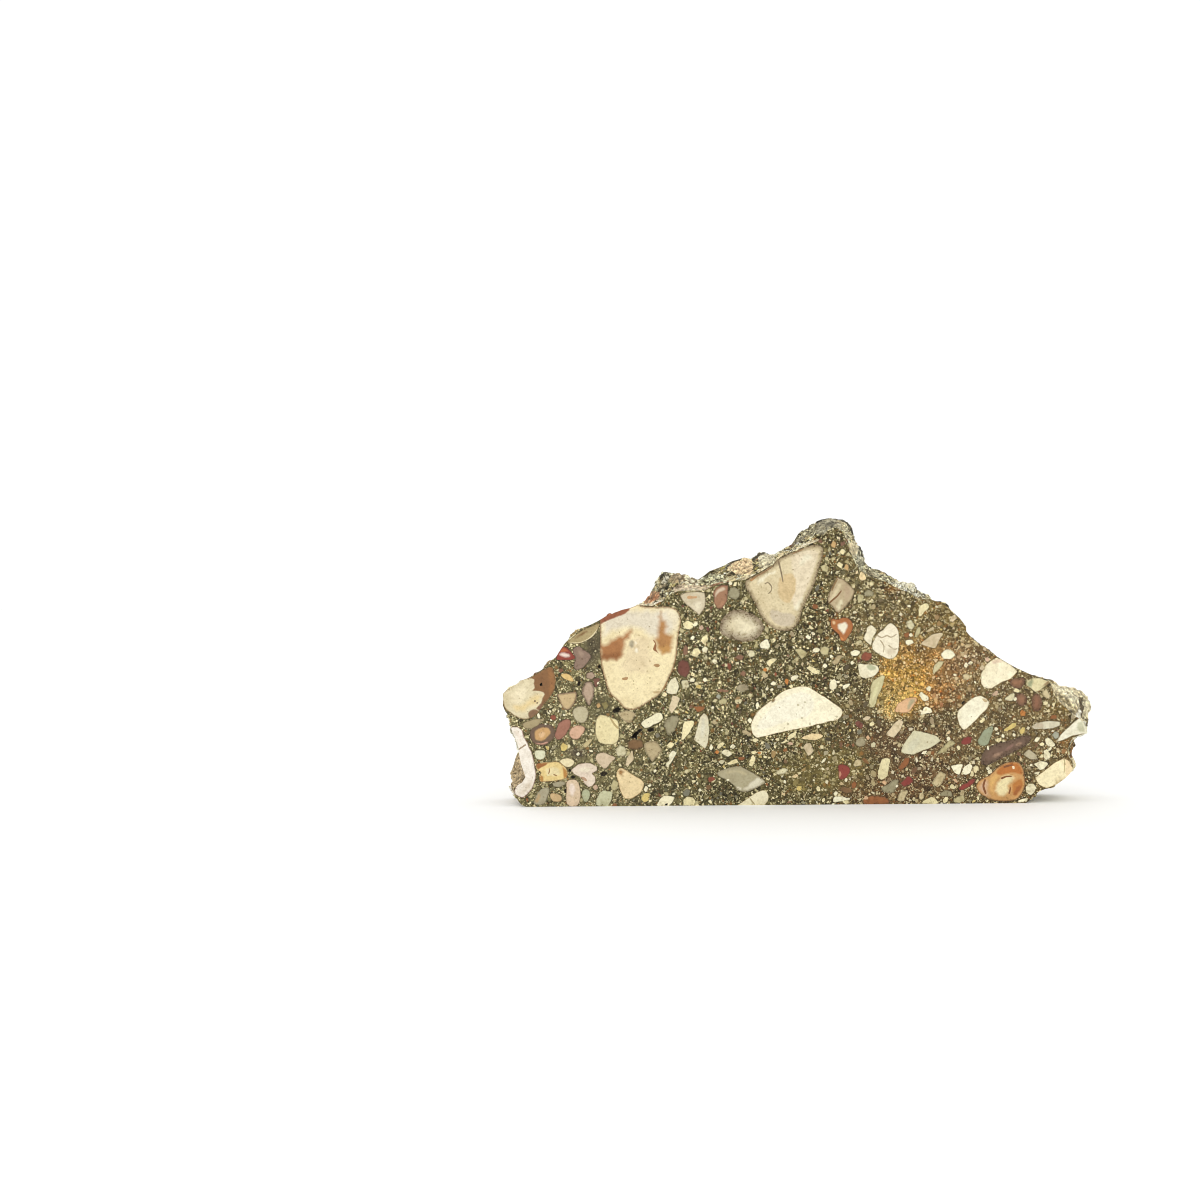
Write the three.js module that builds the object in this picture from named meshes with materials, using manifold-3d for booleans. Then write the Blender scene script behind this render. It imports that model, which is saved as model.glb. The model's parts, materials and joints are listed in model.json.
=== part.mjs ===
// Puddingstone slab: one piece of natural conglomerate, sawn flat on its front, its back and its foot,
// with the broken rind left rough on both flanks and over the top.
// Millimetres, +Z up. The front sawn face looks along -Y, and the foot lies in Z = 0.
import * as THREE from 'three';
import Module from 'manifold-3d';
import { mergeVertices } from 'three/addons/utils/BufferGeometryUtils.js';

// ---------------------------------------------------------------- driving dimensions
const SLAB_LENGTH = 115; // over the two flanks, measured on the front face
const SLAB_THICKNESS = 12; // between the two saw cuts
const STATION_SPACING = 0.95; // distance between neighbouring columns of rind facets
const RIND_ROWS = 11; // rows of rind facets from the front cut to the back cut
const VIEW_DISTANCE = 262; // from the eye of the perspective sheet to the front face

const STONE_COLOUR = 0x8a7a5c;
const STONE_ROUGHNESS = 0.72;

// ---------------------------------------------------------------- the drawing sheet
// The outlines are drawn on a one-point perspective sheet: x runs right and y runs down, in sheet units.
// On the front face SHEET_LENGTH units are the slab's length. A point behind the front face is spread
// from the centre of vision in proportion to its depth.
const SHEET_LENGTH = 589;
const SHEET_MIDDLE_X = 796.5;
const VISION = new THREE.Vector2(600, 600);
const FOOT_LEFT = new THREE.Vector2(526, 806.9);
const FOOT_RIGHT = new THREE.Vector2(1026, 803.1);
const MM_PER_UNIT = SLAB_LENGTH / SHEET_LENGTH;
const SHEET_TILT = Math.atan2(FOOT_LEFT.y - FOOT_RIGHT.y, FOOT_RIGHT.x - FOOT_LEFT.x);

// The rim, clockwise from the left end of the foot. Each row is the edge of the front cut [x, y] and how
// far the edge of the back cut is seen beyond it [right, down].
const RIM = {
  leftFlank: [
    [526, 806.9, 0, 0], [521, 804.5, -1, 0], [517.5, 800, -2, 0], [515, 794, -3, 0], [513.5, 787.5, -3, 0],
    [518, 785, -7, -2], [522, 782.5, -11, 0], [525.5, 777, -15.5, 0], [523.5, 771, -12.5, 0],
    [521, 764, -7.5, 0], [519.3, 755, -4, 0], [518.3, 747, -2.3, 0], [516, 740, -2.5, -0.5],
    [512, 731, -3.5, 0], [510, 724, -4, 0], [509.5, 718.5, -3, 0], [508.5, 715.5, -1, 1],
    [505, 711, 2, 0], [502.8, 705.5, 3, 1], [503.3, 699, 2, 2], [502.8, 694, 1, 2],
  ],
  leftSlope: [
    [506, 690.5, 0, 2], [511, 687, 2, 2], [517, 683.8, 3, 3], [521, 680.5, 2, 4], [527, 678.5, 0, 4],
    [533, 675.7, -1, 3], [538, 672.2, -2, 1], [543, 669, -2, 0], [548, 664.5, -1, -1], [552, 660, 0, 1],
    [556, 657, 3, 3], [559, 652, 4, 4], [562, 647.5, 4, 4], [565.5, 642.5, 3, 3], [570, 638, 1, 1],
    [577, 632.5, -1, -1], [584, 627.5, -1, 0], [591, 624.5, 1, 2], [598, 621, 3, 4], [605, 616.8, 3, 5],
    [614, 613, 2, 4], [622, 609.8, 1, 2], [630, 608, 0, 0], [637, 605.3, 0, -1],
  ],
  topRind: [
    [645, 605.3, 0, -5], [652, 606, -2, -12], [660, 602.5, -4, -22], [667, 598.5, -6, -25.5],
    [671, 593.5, -3, -22], [678, 591, 0, -19], [690, 590.5, 0, -16.5], [698, 590.5, 0, -15.5],
    [705, 590, -1, -16], [712, 586.5, -2, -14], [722, 583.5, -1, -16], [730, 581.5, 0, -18],
    [738, 580, 0, -18.5], [744, 580, 0, -22], [750, 577, 1, -19], [757, 573.5, 1, -19],
    [765, 569, 0, -16.5], [773, 564, -1, -10.5], [781, 556.5, -1, -12], [790, 552.5, -1, -11.5],
    [800, 548.5, -2, -15], [810, 544, -4, -15.5], [818, 541, -6, -17],
  ],
  peak: [
    [822, 536, -5, -14.5], [828, 530, -2, -12], [835, 527, 0, -9.5], [838.5, 528, 5, -9.5],
    [842, 533, 7, -9], [846, 541, 9, -9], [849.5, 550, 9.5, -8], [853.5, 560, 9, -8],
    [858.5, 569, 9, -9], [865, 574, 8, -9], [873, 577.5, 7, -10], [880, 580, 6, -9.5],
    [888, 582.5, 3, -7], [893, 586, 4, -6], [900, 589.5, 5, -6.5], [908, 592, 4, -5.5],
    [915, 596.8, 3, -6], [922, 599.5, 2, -5], [928, 598.5, 0, -2],
  ],
  rightSlope: [
    [935, 600.8, -2, 1], [942, 602.5, -4, 3], [947, 606.5, -6, 5], [953, 612, -8, 5], [960, 618.5, -8, 4],
    [966, 626.5, -8, 3], [966.3, 631.5, -6, 2], [971, 637, -4, 0], [979, 643.8, -4, 1],
    [988, 649, -6, 3], [997, 656.5, -8, 5], [1007, 662.7, -8, 5], [1015, 667.2, -6, 4],
    [1023.5, 671.2, -4, 2], [1031.5, 674.8, -2, 0], [1040, 678.2, 0, -1],
  ],
  lobe: [
    [1049.5, 681.8, 1, -1], [1053, 689, 9, -4.5], [1055.5, 696, 16.5, -10], [1059.5, 702, 20.5, -12],
    [1064.5, 706.5, 21.5, -11.5], [1069, 710.5, 21, -8.5], [1073, 715, 18, -7], [1078, 717.5, 11, -3],
    [1082.5, 721.5, 2.5, -0.5], [1085.5, 727, 0, 0], [1086.5, 733, -3, 0], [1080, 735, -5, 1],
  ],
  rightFlank: [
    [1073.5, 737.5, 0, 1], [1069.5, 743, 4.5, 1], [1067.5, 750, 5, 0], [1068.5, 756, 3.5, 0],
    [1072.5, 762, 0, 0], [1073, 768, -3, 0], [1070, 773.5, -5, -1], [1065, 778.5, -6, -2],
    [1058, 783.5, -4, -2], [1051, 787.8, 0, 0], [1045, 789, 1.5, 3.5], [1039, 791.5, 3, 4],
    [1034, 796, 2, 2.5], [1030, 800, 1, 1.5], [1026, 803.1, 0, 0],
  ],
};

// Pebbles that stand out of the rind: seen at [x, y] on the sheet, depth as a share of the thickness,
// radius and height in millimetres. A negative height is a socket that a pebble has dropped out of.
const RIND_PEBBLES = [
  { at: [1084, 706], depth: 0.6, radius: 3.2, height: 1.1 },
  { at: [1066, 692], depth: 0.45, radius: 3.4, height: 0.6 },
  { at: [741, 567], depth: 0.62, radius: 2.6, height: 1.0 },
  { at: [763, 559], depth: 0.62, radius: 1.8, height: 0.7 },
  { at: [652, 597], depth: 0.4, radius: 2.0, height: 0.7 },
  { at: [687, 580], depth: 0.6, radius: 3.2, height: 0.8 },
  { at: [677, 586], depth: 0.25, radius: 1.5, height: -0.7 },
  { at: [856, 556], depth: 0.5, radius: 2.6, height: 0.7 },
  { at: [826, 523], depth: 0.6, radius: 2.4, height: 0.6 },
  { at: [517, 773], depth: 0.5, radius: 3.2, height: 0.8 },
  { at: [512, 730], depth: 0.7, radius: 2.2, height: 0.6 },
  { at: [503, 700], depth: 0.5, radius: 3.0, height: 0.6 },
  { at: [547, 665], depth: 0.72, radius: 2.8, height: 0.9 },
  { at: [575, 634], depth: 0.35, radius: 1.9, height: 0.5 },
  { at: [603, 618], depth: 0.75, radius: 2.6, height: 0.8 },
  { at: [622, 610], depth: 0.4, radius: 2.2, height: -0.7 },
  { at: [796, 536], depth: 0.8, radius: 2.0, height: -0.6 },
  { at: [906, 586], depth: 0.7, radius: 2.8, height: 0.7 },
  { at: [950, 610], depth: 0.55, radius: 2.6, height: -0.8 },
  { at: [966, 628], depth: 0.75, radius: 2.4, height: 0.7 },
  { at: [1000, 660], depth: 0.6, radius: 4.0, height: 0.8 },
  { at: [1034, 677], depth: 0.35, radius: 1.8, height: 0.4 },
  { at: [1086, 729], depth: 0.4, radius: 2.0, height: 0.4 },
  { at: [1069, 748], depth: 0.55, radius: 2.2, height: -0.6 },
  { at: [1070, 772], depth: 0.6, radius: 3.4, height: 0.7 },
  { at: [1040, 795], depth: 0.5, radius: 1.9, height: 0.4 },
  { at: [514, 797], depth: 0.65, radius: 2.4, height: 0.5 },
];

// Holes in the sawn front where grains fell out: centre [x, y] on the sheet, half width, half height
// and depth in millimetres, and turn in degrees.
const VUGS = [
  { at: [635.5, 734], half: [1.55, 0.85], depth: 1.3, turn: 35 },
  { at: [650.5, 729.5], half: [0.75, 0.42], depth: 0.8, turn: 5 },
  { at: [616.5, 710], half: [1.0, 0.55], depth: 0.9, turn: -20 },
];

// ---------------------------------------------------------------- roughness of the broken rind
const CRAG_SIZE = 6.5; // breadth of the large broken facets, which meet in sharp ridges
const CRAG_HEIGHT = 0.8;
const GRIT_SIZE = 2.1; // breadth of the grains that stand out between them
const GRIT_HEIGHT = 0.5;
const EDGE_SWELL = 0.35; // the rind swells out by this just behind the front cut
const SETBACK = 1.05; // farther in, the rind lies back by this, so that only crags and pebbles reach out
const SMALL_PEBBLES = 90; // scattered over the whole rind, every third one a socket
const SMALL_PEBBLE_RADIUS = [0.9, 2.1];
const SMALL_PEBBLE_HEIGHT = [0.3, 0.75];
const TALLEST_PEBBLE = 1.1; // where pebbles lie over one another
const DEEPEST_SOCKET = 0.9;
const FACING_REACH = 3; // stations to each side that set which way a column of rind faces
const RISE_POWER = 0.85; // how early the rind climbs to the edge of the back cut
const RISE_END = 0.82; // share of the thickness at which it has climbed all the way
const SETTLE_HEIGHT = 8; // below this height the flanks come down square to the foot
const FOOT_SPARE = 0.3; // share of its height that a flank point keeps, whatever the relief there

// ---------------------------------------------------------------- helpers
/** Maps a sheet point at a depth behind the front face to (x, z) in millimetres. */
function place(x, y, depth) {
  const spread = 1 + depth / VIEW_DISTANCE;
  const point = new THREE.Vector2(x, y).rotateAround(VISION, SHEET_TILT);
  const footLine = FOOT_LEFT.clone().rotateAround(VISION, SHEET_TILT).y;
  const across = VISION.x + (point.x - VISION.x) * spread;
  const settle = THREE.MathUtils.clamp((footLine - point.y) * MM_PER_UNIT / SETTLE_HEIGHT, 0, 1);
  const down = VISION.y + (point.y - VISION.y) * THREE.MathUtils.lerp(1, spread, settle);
  return new THREE.Vector2((across - SHEET_MIDDLE_X) * MM_PER_UNIT, (footLine - down) * MM_PER_UNIT);
}

/** A repeatable number from 0 to 1 for a whole-number lattice point. */
function latticeValue(i, j, k) {
  const mixed = Math.sin(i * 127.1 + j * 311.7 + k * 74.7) * 43758.5453;
  return mixed - Math.floor(mixed);
}

/** Smooth lattice noise from -1 to 1. */
function noise(point) {
  const cell = point.clone().floor();
  const part = point.clone().sub(cell);
  const ease = (t) => t * t * (3 - 2 * t);
  const [u, v, w] = [ease(part.x), ease(part.y), ease(part.z)];
  const corner = (i, j, k) => latticeValue(cell.x + i, cell.y + j, cell.z + k);
  const alongX = (j, k) => THREE.MathUtils.lerp(corner(0, j, k), corner(1, j, k), u);
  const alongY = (k) => THREE.MathUtils.lerp(alongX(0, k), alongX(1, k), v);
  return 2 * THREE.MathUtils.lerp(alongY(0), alongY(1), w) - 1;
}

/** The rim resampled at even spacing: sheet point and the shift of the back edge at each station. */
function rimStations() {
  const rows = Object.values(RIM).flat();
  const stations = [rows[0]];
  for (let i = 1; i < rows.length; i += 1) {
    const [from, to] = [rows[i - 1], rows[i]];
    const length = Math.hypot(to[0] - from[0], to[1] - from[1]) * MM_PER_UNIT;
    const steps = Math.max(1, Math.round(length / STATION_SPACING));
    for (let step = 1; step <= steps; step += 1) {
      stations.push(from.map((value, axis) => THREE.MathUtils.lerp(value, to[axis], step / steps)));
    }
  }
  return stations;
}

/** The named rind pebbles and the small scattered ones, each with its centre in millimetres. */
function rindPebbles(stations) {
  const settle = (x, y, depth, radius, height) => {
    const flat = place(x, y, depth);
    return { centre: new THREE.Vector3(flat.x, depth, flat.y), radius, height };
  };
  const named = RIND_PEBBLES.map(({ at, depth, radius, height }) => (
    settle(at[0], at[1], depth * SLAB_THICKNESS, radius, height)));
  const small = Array.from({ length: SMALL_PEBBLES }, (_, i) => {
    const [x, y, right, down] = stations[Math.floor(latticeValue(i, 1, 0) * stations.length)];
    const share = latticeValue(i, 2, 0);
    const rise = riseAt(share);
    const radius = THREE.MathUtils.lerp(...SMALL_PEBBLE_RADIUS, latticeValue(i, 3, 0));
    const height = THREE.MathUtils.lerp(...SMALL_PEBBLE_HEIGHT, latticeValue(i, 4, 0));
    const sign = i % 3 === 2 ? -1 : 1;
    return settle(x + right * rise, y + down * rise, share * SLAB_THICKNESS, radius, sign * height);
  });
  return [...named, ...small];
}

/** How far the rind has climbed towards the back edge, at a share of the thickness. */
function riseAt(share) {
  return Math.min(1, share / RISE_END) ** RISE_POWER;
}

/** Swell and sockets of the rind pebbles at a point, in millimetres outwards. */
function pebbleRelief(point, pebbles) {
  let relief = 0;
  for (const { centre, radius, height } of pebbles) {
    const reach = point.distanceTo(centre) / radius;
    if (reach < 1) {
      relief += height * Math.sqrt(1 - reach * reach);
    }
  }
  return relief;
}

/** Turns triangles given as vertex triples into a closed THREE.BufferGeometry. */
function closedGeometry(vertices, triangles) {
  const geometry = new THREE.BufferGeometry();
  geometry.setAttribute('position', new THREE.Float32BufferAttribute(vertices.flatMap((v) => v.toArray()), 3));
  geometry.setIndex(triangles.flat());
  return geometry;
}

/** Triangles of a flat cap over a loop of vertex numbers, facing along the given direction. */
function capTriangles(loop, vertices, flatten, facing) {
  const contour = loop.map((index) => flatten(vertices[index]));
  const triangles = THREE.ShapeUtils.triangulateShape(contour, []).map((t) => t.map((corner) => loop[corner]));
  return triangles.map(([a, b, c]) => {
    const side = vertices[b].clone().sub(vertices[a]).cross(vertices[c].clone().sub(vertices[a]));
    return side.dot(facing) > 0 ? [a, b, c] : [a, c, b];
  });
}

// ---------------------------------------------------------------- the slab
/** The rind as rows of points from the front cut to the back cut, one column for each station. */
function rindColumns() {
  const stations = rimStations();
  const pebbles = rindPebbles(stations);
  const frontEdge = stations.map(([x, y]) => place(x, y, 0));
  return stations.map(([x, y, right, down], s) => {
    const before = frontEdge[Math.max(0, s - FACING_REACH)];
    const after = frontEdge[Math.min(stations.length - 1, s + FACING_REACH)];
    const along = after.clone().sub(before).normalize();
    const outwards = new THREE.Vector3(-along.y, 0, along.x);
    const atFoot = s === 0 || s === stations.length - 1;
    const column = [];
    for (let row = 0; row <= RIND_ROWS; row += 1) {
      const share = row / RIND_ROWS;
      const depth = share * SLAB_THICKNESS;
      const rise = riseAt(share);
      const flat = place(x + right * rise, y + down * rise, depth);
      const point = new THREE.Vector3(flat.x, depth, flat.y);
      if (row > 0) {
        const crag = CRAG_HEIGHT * (1 - 2.6 * Math.abs(noise(point.clone().divideScalar(CRAG_SIZE))));
        const grit = GRIT_HEIGHT * noise(point.clone().divideScalar(GRIT_SIZE));
        const pebble = THREE.MathUtils.clamp(pebbleRelief(point, pebbles), -DEEPEST_SOCKET, TALLEST_PEBBLE);
        const behindEdge = Math.min(1, 3 * share);
        const relief = EDGE_SWELL + (crag - SETBACK) * behindEdge + grit + pebble;
        point.addScaledVector(outwards, relief);
      }
      point.z = atFoot ? 0 : Math.max(point.z, FOOT_SPARE * flat.y);
      column.push(point);
    }
    return column;
  });
}

/** The closed slab: rind, front cut, back cut and foot. */
function slabGeometry() {
  const columns = rindColumns();
  const rowLength = RIND_ROWS + 1;
  const vertices = columns.flat();
  const number = (station, row) => station * rowLength + row;
  const triangles = [];
  for (let s = 0; s + 1 < columns.length; s += 1) {
    for (let row = 0; row < RIND_ROWS; row += 1) {
      const [a, b] = [number(s, row), number(s + 1, row)];
      const [c, d] = [number(s + 1, row + 1), number(s, row + 1)];
      const shortAC = vertices[a].distanceTo(vertices[c]) < vertices[b].distanceTo(vertices[d]);
      triangles.push(...(shortAC ? [[a, b, c], [a, c, d]] : [[a, b, d], [b, c, d]]));
    }
  }
  const elevation = (v) => new THREE.Vector2(v.x, v.z);
  const plan = (v) => new THREE.Vector2(v.x, v.y);
  const last = columns.length - 1;
  const front = columns.map((column, s) => number(s, 0));
  const back = columns.map((column, s) => number(s, RIND_ROWS));
  const leftEnd = columns[0].map((point, row) => number(0, row));
  const rightEnd = columns[last].map((point, row) => number(last, row));
  triangles.push(...capTriangles(front, vertices, elevation, new THREE.Vector3(0, -1, 0)));
  triangles.push(...capTriangles(back, vertices, elevation, new THREE.Vector3(0, 1, 0)));
  triangles.push(...capTriangles([...leftEnd, ...rightEnd.reverse()], vertices, plan, new THREE.Vector3(0, 0, -1)));
  return closedGeometry(vertices, triangles);
}

/** A lumpy little blob that leaves one vug when it is cut from the front face. */
function vugGeometry({ at, half, depth, turn }) {
  const geometry = new THREE.IcosahedronGeometry(1, 1);
  geometry.deleteAttribute('normal');
  geometry.deleteAttribute('uv');
  const blob = mergeVertices(geometry);
  const position = blob.getAttribute('position');
  const centre = place(at[0], at[1], 0);
  const vertex = new THREE.Vector3();
  for (let i = 0; i < position.count; i += 1) {
    vertex.fromBufferAttribute(position, i);
    vertex.multiplyScalar(1 + 0.22 * noise(vertex.clone().multiplyScalar(1.7).addScalar(at[0])));
    position.setXYZ(i, vertex.x * half[0], vertex.y * depth, vertex.z * half[1]);
  }
  blob.rotateY(THREE.MathUtils.degToRad(turn));
  blob.translate(centre.x, 0, centre.y);
  return blob;
}

/** Makes a manifold solid of a closed geometry. */
function toSolid(wasm, geometry) {
  return new wasm.Manifold(new wasm.Mesh({
    numProp: 3,
    vertProperties: new Float32Array(geometry.getAttribute('position').array),
    triVerts: new Uint32Array(geometry.getIndex().array),
  }));
}

/** The finished slab with its vugs, its foot centred on the origin. */
function cutSlab(wasm) {
  let solid = toSolid(wasm, slabGeometry());
  for (const vug of VUGS) {
    solid = solid.subtract(toSolid(wasm, vugGeometry(vug)));
  }
  const { vertProperties, triVerts } = solid.getMesh();
  const geometry = new THREE.BufferGeometry();
  geometry.setAttribute('position', new THREE.BufferAttribute(vertProperties, 3));
  geometry.setIndex(new THREE.BufferAttribute(triVerts, 1));
  geometry.computeBoundingBox();
  const middle = geometry.boundingBox.getCenter(new THREE.Vector3());
  geometry.translate(-middle.x, -middle.y, -geometry.boundingBox.min.z);
  geometry.computeVertexNormals();
  return geometry;
}

const wasm = await Module();
wasm.setup();

const stone = new THREE.MeshStandardMaterial({
  color: STONE_COLOUR,
  roughness: STONE_ROUGHNESS,
  metalness: 0,
  flatShading: true,
});
const slab = new THREE.Mesh(cutSlab(wasm), stone);
slab.name = 'puddingstone_slab';

const puddingstone = new THREE.Group();
puddingstone.add(slab);

export default puddingstone;
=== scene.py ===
"""A sawn slab of puddingstone: pebbles in a brown gravel matrix, with a rough broken rind.

Everything here is in millimetres until the mesh is written, which is in metres. The slab stands on its
sawn foot, its sawn front looks along -Y and +Z is up.
"""

import json
import logging
import math
import random
from dataclasses import dataclass, field
from enum import Enum
from typing import Callable, Iterable, Sequence

import bmesh
import bpy
import numpy as np
from mathutils import Matrix, Vector, kdtree, noise
from mathutils.geometry import delaunay_2d_cdt

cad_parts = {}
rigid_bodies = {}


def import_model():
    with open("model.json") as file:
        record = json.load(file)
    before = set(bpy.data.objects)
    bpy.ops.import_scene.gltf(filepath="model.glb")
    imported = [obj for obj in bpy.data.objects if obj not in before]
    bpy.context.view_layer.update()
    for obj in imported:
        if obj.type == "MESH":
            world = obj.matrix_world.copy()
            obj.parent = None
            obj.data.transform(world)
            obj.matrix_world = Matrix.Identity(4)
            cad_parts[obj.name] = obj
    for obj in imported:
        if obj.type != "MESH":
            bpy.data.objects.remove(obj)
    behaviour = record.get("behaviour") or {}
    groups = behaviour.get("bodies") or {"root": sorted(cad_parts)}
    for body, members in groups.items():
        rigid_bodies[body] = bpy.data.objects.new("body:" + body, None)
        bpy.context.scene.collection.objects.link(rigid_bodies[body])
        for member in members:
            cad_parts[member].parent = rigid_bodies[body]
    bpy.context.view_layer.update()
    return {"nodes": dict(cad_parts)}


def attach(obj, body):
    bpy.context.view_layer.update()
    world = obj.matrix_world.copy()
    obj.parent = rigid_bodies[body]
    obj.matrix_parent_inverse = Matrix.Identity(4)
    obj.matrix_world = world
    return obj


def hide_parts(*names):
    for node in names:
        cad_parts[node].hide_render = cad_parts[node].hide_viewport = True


log = logging.getLogger("puddingstone")

MM = 0.001
SLAB_NODE = "puddingstone_slab"
SLAB_BODY = "root"
BATCH = 1024
SEAM_PLACES = 3
SLIVER_AREA = 1e-10  # square metres: a face smaller than this has no breadth

Colour = tuple[float, float, float]
Outline = np.ndarray
Socket = bpy.types.NodeSocket


# ------------------------------------------------------------------------------------------ tones


class Tone(Enum):
    """The colours that the pebbles, chips and stains of the stone come in."""

    CREAM = "#ece1b4"
    WARM_CREAM = "#ead4a6"
    PALE_CREAM = "#efe8c8"
    WHITE = "#f4efd2"
    PINK_CREAM = "#dccbaa"
    BEIGE = "#d3c39a"
    FAWN = "#bfae88"
    TAN = "#c8a46e"
    SAGE = "#c2b88c"
    PALE_SAGE = "#d8d1ae"
    GREY_GREEN = "#9d9678"
    SLATE = "#807e6c"
    BLUE_GREY = "#a8aa98"
    GREY = "#aaa083"
    RUST = "#985f33"
    BROWN = "#80603c"
    BRICK = "#935038"
    MAROON = "#784538"
    DARK_RED = "#8f3c33"
    ORANGE = "#c07c3a"
    GOLD = "#d8c278"
    MAUVE = "#867060"
    RED_BROWN = "#8f6850"
    PINK = "#ccae94"
    SALMON = "#d9b48c"
    OLIVE = "#8f8452"
    UMBER = "#5e523a"
    CHARCOAL = "#3d392c"


CRISP_TONES = (Tone.CREAM, Tone.PALE_CREAM, Tone.WHITE, Tone.WARM_CREAM, Tone.GOLD, Tone.PINK_CREAM)


def linear(tone: Tone | str) -> Colour:
    """Turns a tone or a hex colour into linear red, green and blue.

    Args:
        tone: A named tone, or a string such as "#ebdfb6".

    Returns:
        The three linear channels, from 0 to 1.
    """
    code = tone.value if isinstance(tone, Tone) else tone
    channels = [int(code[i : i + 2], 16) / 255 for i in (1, 3, 5)]
    return tuple(c / 12.92 if c <= 0.04045 else ((c + 0.055) / 1.055) ** 2.4 for c in channels)


def blend(first: Sequence[float], second: Sequence[float], share: float) -> Colour:
    """Mixes two colours; a share of 1 gives the second."""
    return tuple(a + (b - a) * share for a, b in zip(first, second))


# --------------------------------------------------------------------------------- tracing sheet


@dataclass(frozen=True)
class TracingSheet:
    """The one-point perspective sheet on which the pebbles of the front face are drawn.

    x runs right and y runs down, in sheet units, the same sheet that the slab's rim is drawn on. The two
    ends of the foot are known on the sheet and on the slab, and they give its scale and its place.
    """

    foot_left_mm: float
    foot_right_mm: float
    vision: tuple[float, float] = (600.0, 600.0)
    foot_left: tuple[float, float] = (526.0, 806.9)
    foot_right: tuple[float, float] = (1026.0, 803.1)
    view_distance: float = 262.0

    @property
    def tilt(self) -> float:
        """The angle by which the foot line climbs on the sheet, in radians."""
        run = self.foot_right[0] - self.foot_left[0]
        return math.atan2(self.foot_left[1] - self.foot_right[1], run)

    @property
    def mm_per_unit(self) -> float:
        """The length of one sheet unit on the front face."""
        return (self.foot_right_mm - self.foot_left_mm) / math.dist(self.foot_left, self.foot_right)

    def _level(self, x: float, y: float) -> tuple[float, float]:
        """Turns a sheet point about the centre of vision until the foot line is level."""
        across, down = x - self.vision[0], y - self.vision[1]
        turn_cos, turn_sin = math.cos(self.tilt), math.sin(self.tilt)
        return (
            self.vision[0] + across * turn_cos - down * turn_sin,
            self.vision[1] + across * turn_sin + down * turn_cos,
        )

    def place(self, x: float, y: float, depth: float = 0.0) -> tuple[float, float]:
        """Gives the slab's (x, z) in millimetres of a sheet point at a depth behind the front face."""
        left, foot_line = self._level(*self.foot_left)
        across, down = self._level(x, y)
        spread = 1 + depth / self.view_distance
        across = self.vision[0] + (across - self.vision[0]) * spread
        down = self.vision[1] + (down - self.vision[1]) * spread
        unit = self.mm_per_unit
        return self.foot_left_mm + (across - left) * unit, (foot_line - down) * unit

    def seen(self, places: np.ndarray, depth: np.ndarray) -> np.ndarray:
        """Moves points behind the front face along their lines of sight onto it.

        Args:
            places: Their x and z in millimetres.
            depth: How far each lies behind the front face.

        Returns:
            The x and z at which the eye sees each on the front face.
        """
        eye = np.array(self.place(*self.vision))
        return eye + (places - eye) / (1 + depth / self.view_distance)[:, None]

    def outline(self, text: str) -> Outline:
        """Reads an outline written as "x,y x,y ..." in sheet units into millimetres."""
        pairs = [pair.split(",") for pair in text.split()]
        return np.array([self.place(float(x), float(y)) for x, y in pairs])


# --------------------------------------------------------------------------- what the front shows


@dataclass(frozen=True)
class Patch:
    """A stain, band or crack inside a pebble.

    Attributes:
        tone: Its colour.
        outlines: Its outlines on the sheet.
        soft: The breadth in millimetres over which it fades into the pebble.
    """

    tone: Tone | str
    outlines: tuple[str, ...]
    soft: float = 0.4


@dataclass(frozen=True)
class Pebble:
    """One large pebble in the front cut.

    Attributes:
        name: What a maker would call it.
        tone: The colour of its body.
        outline: Its edge on the sheet.
        rim: The colour of its weathered skin.
        rim_width: The breadth of that skin in millimetres.
        rounded: Whether the corners of the outline are worn round.
        patches: Stains, bands and cracks, the later ones on top.
        soundness: From 1, clean and even, to 0, mottled and pitted all over.
    """

    name: str
    tone: Tone | str
    outline: str
    rim: Tone | str = Tone.BROWN
    rim_width: float = 0.16
    rounded: bool = True
    patches: tuple[Patch, ...] = ()
    soundness: float = 0.94


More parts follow.
